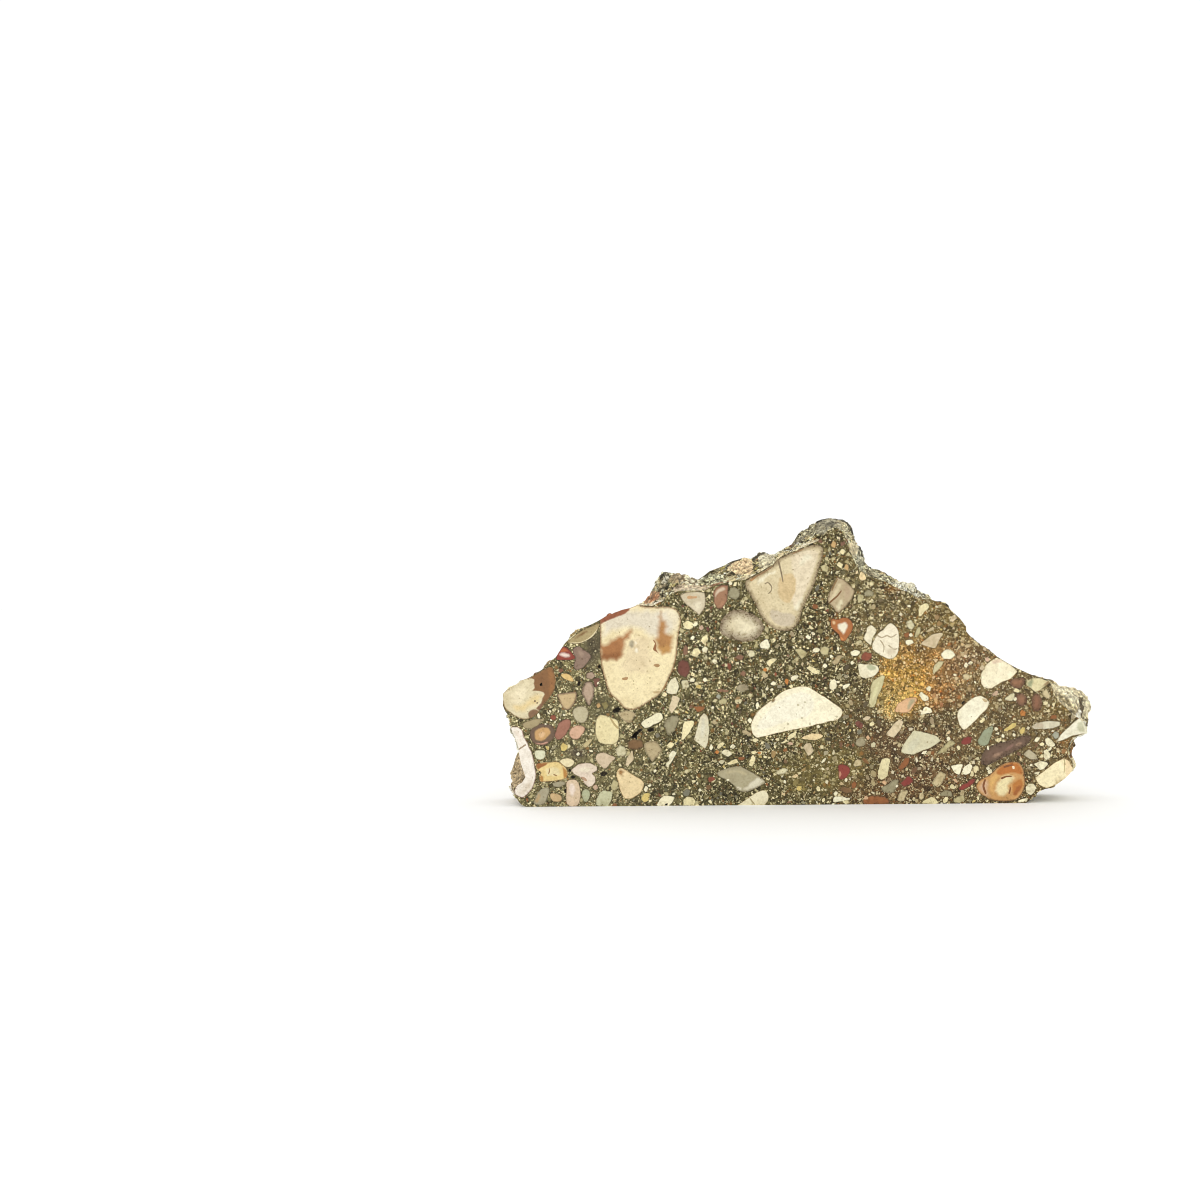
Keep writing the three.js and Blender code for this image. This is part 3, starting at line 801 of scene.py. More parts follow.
        "569,732.5 571.9,727.6 577.8,725.2 583.6,726.2 585.1,729.6 581.7,735.4 576.8,739.3 571.9,738.3"
        " 569.5,735.4",
        rim="#96705a", rim_width=0.2,
    ),
    Pebble(
        "sage_white", "#dcdbbd",
        "534.5,752 537.9,750 544.7,750.5 545.7,753.9 544.7,757.8 539.8,759.7 535.9,757.8",
        rim="#86805e", rim_width=0.14,
    ),
    Pebble(
        "cream_egg", "#ece0b8",
        "559.8,760.7 563.2,758.3 568,757.8 572.9,759.7 574.4,762.7 571.9,766.1 567.1,767.5 563.2,765.6"
        " 560.7,763.2",
        rim="#8c7a54", rim_width=0.14,
    ),
    Pebble(
        "sage_lower_left", "#aca48a",
        "534,800.6 535.9,795.7 540.8,788.9 548.6,788 549.1,792.8 546.6,800.6 543.7,804.5 536.9,805 533.5,803",
        rim="#6e6850", rim_width=0.2,
        patches=(
            Patch("#baa076", ("534,800.6 536,796 539,792 541,797 539,803 535,803.6",), soft=0.4),
        ),
    ),
    Pebble(
        "grey_small", "#aaa288",
        "552,783.1 558.3,781.6 565.1,781.1 565.1,784.6 560.3,787 553.9,786.5",
        rim="#6e6248", rim_width=0.12, rounded=False,
    ),
    Pebble(
        "tan_orange", "#d0b386",
        "549.6,794.8 553.4,792.8 560.3,794.8 562.2,798.7 560.3,801.6 555.4,802.1 551.5,800.6",
        rim="#8c6e46", rim_width=0.16,
    ),
    Pebble(
        "sage_upright", "#b4b796",
        "582.1,791.8 585.5,788.9 589.4,790.9 589.9,795.7 588,801.1 584.6,802.1 582.1,797.7",
        rim="#706a4e", rim_width=0.14,
    ),
    Pebble(
        "sage_white_block", "#ceceab",
        "595.8,805.5 596.2,799.6 600.1,791.8 603.1,789.9 612.8,791.8 611.8,799.6 607.9,806.9 602.1,806.9",
        rim="#7c7856", rim_width=0.16, rounded=False,
    ),
    Pebble(
        "pink_beige_triangle", "#d6c2a6",
        "595.3,758.8 597.2,753.9 604,752.5 609.9,754.9 615.7,757.8 610.8,762.7 606,768.5 602.1,767.5"
        " 598.2,763.6",
        rim="#826e54", rim_width=0.16,
    ),
    Pebble(
        "tan_slip", "#c7b88b",
        "582.1,745.2 587.5,740.3 591.9,737.9 592.4,740.8 586.5,747.1 584.6,747.6",
        rim="#786846", rim_width=0.1, rounded=False,
    ),
    Pebble(
        "beige_triangle", "#beb496",
        "1022.4,754.5 1028.8,749 1035.8,753.8 1038.6,760 1030,759.5",
        rim="#746448", rim_width=0.16, rounded=False,
    ),
    Pebble(
        "sage_triangle", "#9ca387",
        "977.5,741 983.9,730 992.3,725.8 993,731.4 988,744 981,745.4",
        rim="#686648", rim_width=0.16,
    ),
    Pebble(
        "red_brown_a", "#946a4c",
        "1010,684 1012,679 1018,677.6 1024.5,678 1024,684 1021,688 1014,688",
        rim="#6e523c", rim_width=1.0,
    ),
    Pebble(
        "red_brown_b", "#92684c",
        "1016,697 1020,693 1026,696 1027,702 1023,706 1017,704",
        rim="#6e523c", rim_width=1.0,
    ),
    Pebble(
        "red_brown_c", "#8e6248",
        "1031.6,700 1034,694.5 1038,693.5 1042,699 1041.6,707 1038,711.7 1033,709",
        rim="#6e523c", rim_width=1.0,
    ),
    Pebble(
        "second_sage_strip", "#cec59c",
        "932.3,670.9 934,665.5 938.6,660.9 944,661.4 941.4,666.4 936.8,671.8 934,675 932.7,673.6",
        rim="#8c7e54", rim_width=0.12, rounded=False,
    ),
)

SMALL_PEBBLES: dict[Tone, tuple[str, ...]] = {
    Tone.CREAM: (
        "661,696 664,692 667,694 665,697", "684,722 693,721 694,724 689,733 683,740 681,739",
        "667,746 670,742 674,744 671,748", "683,800 687,797 692,797 695,801 694,806 684,805",
        "683,624 687,621 693,623 692,628 686,629", "701,641 703,636 707,635 708,640 704,644",
        "691,655 694,649 699,648 701,653 696,657", "707,597 709,594 711,596 710,600",
        "766,663 770,659 777,658.5 772,664 770,667", "717,748 719,744 723,742 725,744 719,749",
        "727,764 731,761 736,759 738,762 733,764", "751,757 753,755 756,758 752,766 749,765",
        "751,752 755,751 758,753 753,754", "752,740 755,738 758,740 755,742",
        "806,668 809,666 814,667.6 820,670.6 819,674 813,673.5", "809,616 811,615 813,617 811,618",
        "840,552 842,549 845,551 843,555", "837,565 839,562 843,564 841,568",
        "788,739 788.5,736 793,733.5 796,733 795,736 790,739", "780,743 784,741 787,740.5 785,743",
        "816.5,789 818,786 820,787 820.5,791 818,791.5", "822,800 824,798 825,801 823,802",
        "843,801.5 847,800.5 849,802.5 845,803",
        "918.6,610 920.6,606 924,604 928,604 929,607 925,611 920,616.6 918.5,615",
        "882,759 886,758 889.5,759.5 889.5,764 888,770 887,776 884,779 880.5,779.5 879,776 878,771 880,765",
        "920,803.6 924,801 929,798 932,797 936,800 939,803.4", "943,800 945,797 948,797 947,801 944,803",
        "950,787 952,784 954,785 955,790 951,788", "980,721 984,718 985,720 982,723 980,722.5",
        "995,741 996.6,739 1000,739 1001,737.5 1001,740 998,742", "1039,744 1042,742 1044,744 1041,746",
        "1043,702 1046,701 1048,703 1045,705", "1052,704 1056,702 1054,707", "1046,712 1049,709 1050,712",
        "1013.5,691 1016,688.5 1019,690 1018,692", "956,747 958,745.6 960,747 959,750",
        "974,767 977,766 979,769 976,773 974,771", "970,776 971.6,771 973,773 973,776",
    ),
    Tone.PALE_CREAM: (
        "641,723 653,715 660,712.5 662,714 663,719 652,726 645,728",
        "675,677 677,680 678.5,686 677,693.5 670,693.5 666,692 668,685 671,680",
        "661,798 665,796 675,797 671,804 668,806 656,806", "702,649 705,646 708,648 706,652 703,652",
        "721,752 725,750 729,751 732,754 728,757",
        "829.5,689 830,685 831,680 834,679 836,681 837,687 833,690", "833,794 836,791 838,793 836,795",
        "1037,767 1034,764 1040,762 1046,762 1048,764 1045,768 1040,770",
        "1044,757 1044,751 1047,750 1050,754 1050,758 1046,759",
        "1045,739 1048,738 1052,740 1055,745 1052,747 1047,745", "1034,741 1037,737 1040,738 1037,742",
        "1026,787 1029,784 1034,784 1037,788 1034,792 1031,795.5 1028,794 1026,791",
        "1018,801.6 1022,799 1028,798 1027,800.6 1022,802.4", "994,729 996,727 998,729 996,731",
        "995,734 999,732 999,735", "1034,773 1037,771.5 1040,772 1038,775", "909,635 911,633 913,635 911,637",
    ),
    Tone.WHITE: (
        "666,765 669,760 669,755 673,751 677,753 672,761 668,767", "648,786 650,783 652,785 650,787",
        "644,790 646,786 648,788 646,792", "693,625 696,622 698,624 696,626",
        "691,638 693,635 695,637 693,640", "760,644 763,641 766,639 768,639 770,648 761,648",
        "712,661 714,659 717,661 715,664", "756,704 758,701 759,705 757,709",
        "748,720 750,718 752,720 750,723", "765,689 767,686 769,688 767,691",
        "770,690 772,688 774,689 772,691", "771,684 773,681 776,683 774,686",
        "689,681 692,678 695,679 694,682", "703,680 705,678 707,680 705,682",
        "709,748 711,744 713,747 711,751", "730,747 733,744 736,746 733,749",
        "813,650 816,648 820,649 818,652 814,652", "851,653 855,650 860,652 857,656 852,655",
        "850,663 852,661 854,663 852,665", "823,666 825,664 827,666 825,668",
        "806,637 808,635 811,637 809,639", "811,633 813,632 815,634 813,635",
        "837,648.6 838,647 839.4,648.6 838,650", "791,678 793,676 798,675.5 798,678 793,681 791,680",
        "843,689 843.5,686 846,684 850,684 848,687 844,689", "822,762 824,758.5 826,758 825,761.5 822,763",
        "833,801.5 834,798 836,797 841,797 850,798.5 849,799.5 840,801 834,802",
        "906,641 912,640 914,643 909,645 906,644", "921,692 924,694 928,697 928,700 925,701 922,699 920,695",
        "926,688 929,686 931,688 930,691 927,690", "921,714 924,708 927,707 931,709 932,712 927,713 923,714",
        "941,654 946,649 951,650 955,655 950,659 944,659",
        "951,766 957,765 963,764.5 961,770 959,775 954,772",
        "962,773 964,767 969,764.5 972,766 970,773 966,774.5", "921,754 923,751 927,751 925,754",
        "986,768 988,766 989.6,768.4 987.6,769.6", "988,771 991,770 992,772 989,773",
        "964,666 966,662 968,665 966,668", "968,663.6 970.6,661 973,662.4 971,665",
        "1051,731.4 1053,729.6 1054,731.6", "947,738 949,736.8 950,739 948,740.6",
    ),
    Tone.PINK_CREAM: (
        "632,750 634,759 628,766 626,765 627,759", "672,696 677,696 680,699 675,709 672,713 669,710",
        "803.5,747 806,744 810,743 812,746 813,752 811,754 808,755.5 806,752",
        "862,719 867,716 871,717 869,720 865,720",
        "921.6,643.4 929,637 934,634 941,632.4 942,634 938,642 935,648 930,647",
        "951,617 955,614 957,618 953,622 950,621",
        "885.5,735 890,729 897,721 899,719.5 902.5,720.5 903,723 900,730 896,735 893,737.5",
        "979,668 982,665 985,667 982,670",
    ),
    Tone.BEIGE: (
        "853,765 855,761 858,759 861,762 861,765 855,766.5", "960,794 962,790 965,791 963,796",
        "919,797 920,793 923,793 924,798 921,800", "963,675 966,673 970,676 968,680 964,679",
        "1043,691 1046,689 1049,693 1050,699 1046,698 1043,695",
        "897,800 899,795 902,791.5 907,790.5 908,792 905,797 904,801 899,801",
        "931,783 935,778 939,772 942,771.5 946,774 944,779 941,785 938,787 933,785",
    ),
    Tone.FAWN: (
        "644,743 656,741 659,745 662,751 656,758 652,762 646,752",
        "618,713 624,711 632,711 636,714 630,724 620,718", "832,663 838,655 843,656 836,665",
        "742,731 745,730 751,733 751,736 743,733", "927,631 933,627 934,629 928,632",
    ),
    Tone.WARM_CREAM: (
        "801.5,738 805,735.5 812,734 820,733.5 823.5,736 819,739 815,740.5 808,739.5",
        "859,577 861,572 865,574 866,579 861,581", "792,777 796,774.5 798,775.5 795,778",
    ),
    Tone.GOLD: (
        "560,746 563,743 568,746 567,750 561,751", "641,799 644,794 650,793 649,800 644,803",
        "696,687 698,685 701,686 700,689", "796,788 798,786 802,786 802,789 799,791 796.5,790",
        "1004,730 1008,727 1012,724 1017,722 1016,726 1011,729 1007,731",
        "1020,731 1023,727 1025,728 1024,733 1021,734",
    ),
    Tone.SAGE: (
        "611,786 614,780 618,783 616,790 612,790", "764,630 766,626 769,629 768,634",
        "719,701 723,698 727,700 725,704 720,704", "795,650 800,648 808,653 802,659 799,655",
        "820,649 824,646 829,649 828,655 822,654", "857,598 859,594 863,596 862,602 858,603",
        "821,567 825,564 829,567 827,572 822,571",
        "937.5,754 941,749 945,745 949,741 953,741 956,744 951,746 948,748 946.5,752",
        "953,799 958,797 963,795 965,800 960,803 954,802", "914,637 917,630 919,627 921,627 920,633 917,637",
    ),
    Tone.PALE_SAGE: (
        "616,748 620,745 624,747 627,752 624,756 617,756", "681,681 688,680 689,687 683,689",
        "747,655 750,650 754,651 755,656 750,657", "718,762 721,760 725,761 722,764",
        "871,744 874,741 876,744 875,747 871,747", "776,772 780,769 785,768 788,770 784,774 777,774",
        "906,622 911,620 914,625 912,630 907,628", "1005,699 1010,694 1014,693 1015,695 1012,701 1008,701",
    ),
    Tone.GREY_GREEN: (
        "665,721 671,716 677,716 679,720 675,730 671,735 668,735 664,726",
        "728,594 730,589 735,587 739,590 740,595 736,599 730,598", "864,593 868,590 874,592 873,596 866,596",
        "881,789 884,786 889,784 893,780 898,779.5 898,785 894,792 887,793 882,791",
        "940,793 945,790 951,791 952,796 946,796 941,796",
    ),
    Tone.GREY: (
        "736,688 740,684 747,685 749,689 744,692 738,691",
        "855,742 857,739 862,738 866,741 864,745 859,747 856,745", "824,752 828,751 828,754 824,755",
    ),
    Tone.SLATE: (
        "683,792 687,788 690,791 688,796 684,796", "655,735 658,733 660,736 657,738",
        "857,731 861,729 862,733 858,735",
    ),
    Tone.BLUE_GREY: (
        "716,697 718,694 721,696 719,699", "1052,735 1055,731.6 1059,733 1058,737.6 1055,739",
    ),
    Tone.RUST: (
        "693,707 702,706 705,708 702,711 697,712", "898,768 901,764 905,758 909,757 910,761 907,766 902,770",
        "851,784 854,781 857,783 856,788 852,788",
        "863,800 868,797 876,795.6 884,797 890,800 888,803.6 864,804",
        "1050,718.6 1051,715.6 1056,715.4 1057,718.6", "904,634 909,632 908,637 905,637",
    ),
    Tone.BROWN: (
        "838,790 843,787 850,788 852,792 846,793", "628,741 635,739 642,741 643,747 636,750 628,748",
    ),
    Tone.BRICK: (
        "774,675 775,672 777,674 776,677", "861,656 865,652 871,653 872,658 866,661 862,660",
        "550.2,717 552,715 555,715.4 556,718 554,720.4 551,720",
    ),
    Tone.MAROON: (
        "679,662 683,660 688,662 690,668 689,674 685,678 677,672", "855,723 858,721 863,724 862,728 857,727",
    ),
    Tone.DARK_RED: (
        "901,783 904,780 907,777 912,777 913,781 909,785 904,787",
        "959,789 962,785 967,783 972,779 976,779 974,783 968,787 963,790",
        "961,741 964,738 968,736 972,737 971,742 966,745 962,744",
    ),
    Tone.ORANGE: (
        "785,681 786,679 788.5,680 788,685 785.5,684", "763,670 765,668 767,669 766,671",
        "715,752 717,750 719,752 717,754", "757,753 759,752 761,753 759,754",
        "1020,713 1022,710 1026,712 1025,716 1021,716",
    ),
    Tone.RED_BROWN: (
        "683,650 685,645 688,648 687,655 684,655", "735,658 739,655 744,656 742,660",
        "740,674 743,671 746,673 744,676", "717,690.5 721,689 729,690 727,692 720,692",
    ),
    Tone.PINK: (
        "593,787 596,785 598,788 595,790", "699,628 702,625 704,628 701,630",
        "787,744 790,742 793,744 790,744.5", "985,658 988,657 989,661 986,661",
        "992,694 996,691 998.5,691.5 997,695 993,696",
    ),
    Tone.SALMON: (
        "866,737 868,735 870,738 868,741", "882,782 885,780 887,783 885,785",
        "952,779 956,778 958,782 956,783", "864,799 865,796 868,797 868,799.5",
    ),
    Tone.TAN: (
        "831,545 833,541 836,543 835,548 832,547", "844,568 846,564 849,566 848,571",
        "596,705 599,703 601,706 598,708",
    ),
    Tone.OLIVE: (
        "601,703 606,701 609,706 604,710",
    ),
}

# Bright round grains in the middle of the front: centre and radius in sheet units.
BRIGHT_GRAINS = (
    (838, 682, 1.5), (841, 685, 1.4), (823, 769, 1.5), (812, 757, 1.6), (827, 782, 1.7), (785, 782, 1.6),
    (846, 780, 1.8), (775, 747, 1.5), (728, 780, 1.4), (1015, 699, 1.9), (955, 675, 1.5), (872, 724, 2.6),
    (881, 615, 1.9), (899, 601, 1.4), (909, 606, 1.6), (975, 682, 1.2), (988, 748, 1.6), (1003, 736, 1.7),
    (1014, 735, 1.8), (1031, 765, 1.4), (1050, 749, 1.8), (897, 786, 1.4), (655, 771, 1.5), (700, 790, 1.6),
    (620, 765, 1.4), (591, 751, 1.5), (578, 754, 1.7), (548, 775, 1.2), (765, 757, 1.6),
    (550, 711, 1.2), (553, 710, 1.0), (555.5, 709.5, 0.9), (548.6, 713, 1.1), (558.6, 711, 1.0),
    (563.9, 714.9, 1.2),
    (547, 722, 0.9), (551, 720, 1.1), (555, 722, 0.9), (560, 719.5, 1.0), (545.5, 724, 1.0),
    (538.6, 715.8, 2.1),
    (598, 683, 1.2), (600, 688, 1.1), (601, 693, 1.2), (921, 711, 1.5), (926, 709.6, 1.4), (930, 712, 1.3),
)

# Dark holes in the front cut where grains fell out: outline on the sheet and depth in millimetres.
VUGS = (
    ("629,737 632,736 634,733 637,731 641,728 643,730 639,733 637,736 637,740 635,738 631,738", 1.2),
    ("647,730 650,728 654,728 654,731 649,732", 0.7),
    ("612,711 615,708 619,707 621,709 619,712 614,713", 0.8),
    ("597,667 599,664.6 601,666 600,669", 0.5), ("577,684 579,680 581,682 580,686 578,686", 0.5),
    ("568,770 570,768 571,771 569,772", 0.4), ("570,777 573,775 576,777 573,779", 0.4),
    ("600,773 604,771 608,773 605,776 601,776", 0.5),
    ("564,790 566,788 566,793 564.6,793", 0.4), ("535,749 537,748 537,750", 0.3),
    ("539.6,684 542,682.4 542.6,685.6 540,686", 0.5),
    ("665,804 667.6,803 667.6,805.4 665.4,805.6", 0.4), ("677,586 680,585 680,588", 0.3),
    ("1000,742 1002.4,741 1002,743.4", 0.3),
    ("784,686 786,684.6 786.6,687 784.6,688", 0.3), ("961,703 964,700.6 965,702 962,704.6", 0.3),
)


@dataclass(frozen=True)
class Stain:
    """A cloud of colour in the matrix.

    Attributes:
        centre: Its middle on the sheet.
        reach: Its half breadths on the sheet.
        tone: Its colour.
        strength: How far it covers the matrix.
        grain: How clear the matrix's grains stay in it, from 0, mud, to 1.
    """

    centre: tuple[float, float]
    reach: tuple[float, float]
    tone: str
    strength: float
    grain: float = 0.8


STAINS = (
    Stain((585, 740), (50, 70), "#918866", 0.6, 0.7),
    Stain((625, 780), (40, 26), "#8c8260", 0.5, 0.7),
    Stain((1000, 720), (90, 60), "#8f7852", 0.8, 0.66),
    Stain((905, 625), (70, 34), "#97845a", 0.8, 0.72),
    Stain((870, 720), (30, 40), "#86724c", 0.6, 0.6),
    Stain((826, 772), (52, 26), "#98874f", 0.85, 0.55),
    Stain((860, 588), (26, 22), "#857752", 0.6, 0.75),
    Stain((945, 620), (44, 28), "#a58a52", 0.6, 0.75),
    Stain((955, 663), (38, 26), "#b99366", 0.75, 0.85),
    Stain((966, 655), (22, 14), "#b8906c", 0.5, 0.85),
    Stain((944, 680), (20, 26), "#bc8c60", 0.75, 0.85),
    Stain((916, 676), (30, 30), "#d8a058", 0.85, 0.85),
    Stain((902, 682), (24, 28), "#ecba62", 1.0, 0.9),
    Stain((891, 700), (14, 15), "#f2cf86", 0.9, 1.0),
    Stain((905, 690), (10, 10), "#f0c878", 0.6, 1.0),
    Stain((936, 700), (12, 12), "#c88a50", 0.6, 0.85),
    Stain((880, 792), (40, 18), "#87613f", 0.6, 0.7),
    Stain((925, 775), (44, 22), "#8e6248", 0.45, 0.7),
    Stain((925, 740), (34, 18), "#86604a", 0.4, 0.7),
    Stain((885, 745), (26, 20), "#7a5540", 0.5, 0.6),
    Stain((1060, 708), (12, 9), "#a58a55", 0.8),
    Stain((1068, 748), (12, 11), "#a88350", 0.9),
    Stain((893, 588), (10, 6), "#a5713c", 0.7),
    Stain((640, 745), (14, 10), "#8a6f42", 0.5),
    Stain((593, 648), (9, 20), "#5f553e", 1.0, 0.1),
    Stain((600, 706), (11, 13), "#625c3c", 0.8, 0.2),
    Stain((575, 753), (10, 5), "#6f5f50", 0.75, 0.2),
    Stain((612, 694), (9, 7), "#645c3e", 0.5, 0.4),
)


# ------------------------------------------------------------------------------- outline geometry


def worn(points: Outline, passes: int, cut: float) -> Outline:
    """Wears the corners of a closed outline by cutting them.

    Args:
        points: The outline's corners.
        passes: How often the corners are cut.
        cut: The share of each side that a cut takes off its ends.

    Returns:
        The outline with two points for each old one, for each pass.
    """
    for _ in range(passes):
        following = np.roll(points, -1, axis=0)
        near = points * (1 - cut) + following * cut
        far = points * cut + following * (1 - cut)
        points = np.stack([near, far], axis=1).reshape(-1, 2)
    return points


def curved(points: Outline, parts: int) -> Outline:
    """Draws a smooth closed curve through an outline's points.

    Args:
        points: The points that it passes through.
        parts: How many sides each stretch between two points gets.

    Returns:
        The finer outline.
    """
    before, after, beyond = (np.roll(points, shift, axis=0) for shift in (1, -1, -2))
    stretches = []
    for part in range(parts):
        t = part / parts
        stretches.append(0.5 * (
            2 * points + (after - before) * t + (2 * before - 5 * points + 4 * after - beyond) * t**2
            + (3 * points - before - 3 * after + beyond) * t**3
        ))
    return np.stack(stretches, axis=1).reshape(-1, 2)


def ragged(points: Outline, step: float, height: float) -> Outline:
    """Makes an outline uneven, as a natural edge is.

    Args:
        points: The closed outline.
        step: The longest side that it may keep, in millimetres.
        height: How far its points stray to either side, in millimetres.

    Returns:
        The outline with more points, each moved sideways by smooth noise.
    """
    finer = []
    for start, end in zip(points, np.roll(points, -1, axis=0)):
        parts = max(1, math.ceil(float(np.linalg.norm(end - start)) / step))
        finer.extend(start + (end - start) * i / parts for i in range(parts))
    line = np.array(finer)
    sway = [noise.fractal(Vector((x / (step * 2.2), y / (step * 2.2), 7.7)), 1.0, 2.0, 2) for x, y in line]
    return line + (offset(line, 1.0) - line) * np.array(sway)[:, None] * height * 1.6


def signed_area(points: Outline) -> float:
    """The area inside an outline, positive where it runs anticlockwise."""
    following = np.roll(points, -1, axis=0)
    return float(np.sum(points[:, 0] * following[:, 1] - following[:, 0] * points[:, 1]) / 2)


def offset(points: Outline, distance: float) -> Outline:
    """Moves every point of a closed outline outwards by a distance; a negative one moves them inwards."""
    following, previous = np.roll(points, -1, axis=0), np.roll(points, 1, axis=0)
    along = following - previous
    outwards = np.stack([along[:, 1], -along[:, 0]], axis=1) * math.copysign(1.0, signed_area(points))
    return points + outwards / np.maximum(np.linalg.norm(outwards, axis=1, keepdims=True), 1e-9) * distance


def is_inside(outline: Outline, points: np.ndarray) -> np.ndarray:
    """Says for each point whether it lies inside a closed outline."""
    x1, y1 = outline.T
    x2, y2 = np.roll(outline, -1, axis=0).T
    rise = np.where(y2 == y1, 1.0, y2 - y1)
    inside = np.zeros(len(points), bool)
    for start in range(0, len(points), BATCH):
        x, y = points[start : start + BATCH, 0:1], points[start : start + BATCH, 1:2]
        crosses = ((y1 > y) != (y2 > y)) & (x < (x2 - x1) * (y - y1) / rise + x1)
        inside[start : start + BATCH] = crosses.sum(1) % 2 == 1
    return inside


def distance_to(outline: Outline, points: np.ndarray) -> np.ndarray:
    """Gives each point's distance to the nearest side of a closed outline."""
    corner = outline[None, :, :]
    side = np.roll(outline, -1, axis=0)[None, :, :] - corner
    length = np.maximum((side * side).sum(2), 1e-12)
    distance = np.zeros(len(points))
    for start in range(0, len(points), BATCH):
        reach = points[start : start + BATCH, None, :] - corner
        share = np.clip((reach * side).sum(2) / length, 0, 1)
        away = np.linalg.norm(reach - share[:, :, None] * side, axis=2)
        distance[start : start + BATCH] = away.min(axis=1)
    return distance


def blob(rng: random.Random, centre: Sequence[float], radius: float, corners: int, wear: float) -> Outline:
    """Draws a random pebble outline.

    Args:
        rng: The source of its shape.
        centre: Its middle.
        radius: Its mean radius.
        corners: How many corners it has before they are worn.
        wear: From 0, angular, to 1, worn to an egg.

    Returns:
        The closed outline.
    """
    turn, stretch = rng.uniform(0, math.tau), rng.uniform(1.0, 1.9)
    angles = [(i + rng.uniform(-0.3, 0.3) * (1.2 - wear)) * math.tau / corners for i in range(corners)]
    radii = [radius * (1 + rng.uniform(-0.3, 0.25) * (1.1 - wear)) for _ in angles]
    local = [
        (r * math.cos(a) * math.sqrt(stretch), r * math.sin(a) / math.sqrt(stretch))
        for a, r in zip(angles, radii)
    ]
    turn_cos, turn_sin = math.cos(turn), math.sin(turn)
    return np.array([
        (centre[0] + u * turn_cos - v * turn_sin, centre[1] + u * turn_sin + v * turn_cos) for u, v in local
    ])


# ----------------------------------------------------------------------------------- cut faces


class Finish(Enum):
    """The kinds of surface on the slab, in the order of the mesh's material slots."""

    GRAVEL_MATRIX = 0
    CUT_PEBBLE = 1
    BROKEN_RIND = 2
    WEATHERED_PEBBLE = 3
    VUG = 4


@dataclass
class Region:
    """An area of a cut face with one finish and tone.

    Attributes:
        outline: Its edge in the plane of the cut, in millimetres.
        tint: The linear colour of its body.
        rim: The linear colour of its skin.
        rim_width: The breadth of the skin in millimetres, 0 for none.
        finish: What it is made of.
        depth: How deep a vug goes, 0 for anything else.
        parent: The pebble that a patch lies in, which also cuts it off.
        soundness: From 1, clean and even, to 0, mottled and pitted all over.
    """

    outline: Outline
    tint: Colour
    rim: Colour = (0.0, 0.0, 0.0)
    rim_width: float = 0.0
    finish: Finish = Finish.CUT_PEBBLE
    depth: float = 0.0
    parent: "Region | None" = None
    soundness: float = 1.0

    LEAST_SKINNED = 0.42
    SKIN_LIMIT = 0.64

    @property
    def breadth(self) -> float:
        """The square root of the area."""
        return math.sqrt(abs(signed_area(self.outline)))

    @property
    def slimness(self) -> float:
        """Twice the area over the girth: a disc's radius, and near a slit's breadth."""
        girth = np.linalg.norm(self.outline - np.roll(self.outline, 1, axis=0), axis=1).sum()
        return 2 * abs(signed_area(self.outline)) / girth

    @property
    def has_skin(self) -> bool:
        """Whether it has a skin, and is broad enough for one."""
        return self.rim_width > 0 and self.slimness > self.LEAST_SKINNED

    def inwards(self, points: np.ndarray) -> np.ndarray:
        """Gives 0 on the edge and 1 where the skin, which is never too broad for the region, ends."""
        if not self.has_skin:
            return np.ones((len(points), 1))
        width = min(self.rim_width, self.SKIN_LIMIT * self.slimness)
        return np.clip(distance_to(self.outline, points) / width, 0, 1)[:, None]


@dataclass
class Occupancy:
    """A fine grid over a cut face that remembers which places pebbles have taken."""

    low: np.ndarray
    high: np.ndarray
    cell: float = 0.12
    taken: np.ndarray = field(init=False)

    def __post_init__(self) -> None:
        """Lays out the empty grid."""
        self.taken = np.zeros(tuple(np.ceil((self.high - self.low) / self.cell).astype(int) + 1), bool)

    def _window(self, outline: Outline) -> tuple[slice, slice, np.ndarray]:
        """Finds the grid cells that lie inside an outline."""
        first = np.clip(((outline.min(0) - self.low) / self.cell).astype(int), 0, None)
        last = np.ceil((outline.max(0) - self.low) / self.cell).astype(int) + 1
        last = np.minimum(last, self.taken.shape)
        if (last <= first).any():
            return slice(0, 0), slice(0, 0), np.zeros((0, 0), bool)
        across, up = np.meshgrid(*(np.arange(f, l) for f, l in zip(first, last)), indexing="ij")
        points = np.stack([across.ravel(), up.ravel()], axis=1) * self.cell + self.low
        covered = is_inside(outline, points).reshape(across.shape)
        return slice(first[0], last[0]), slice(first[1], last[1]), covered

    def claim(self, outline: Outline) -> None:
        """Marks the cells inside an outline as taken."""
        across, up, inside = self._window(outline)
        self.taken[across, up] |= inside

    def is_free(self, outline: Outline) -> bool:
        """Says whether nothing has been claimed inside an outline yet."""
        across, up, inside = self._window(outline)
        return bool(inside.size) and not (self.taken[across, up] & inside).any()


@dataclass
class Patchwork:
    """The triangles of a surface, with a tint on every corner and a finish on every face."""

    points: np.ndarray
    faces: np.ndarray
    tints: np.ndarray
    finishes: np.ndarray


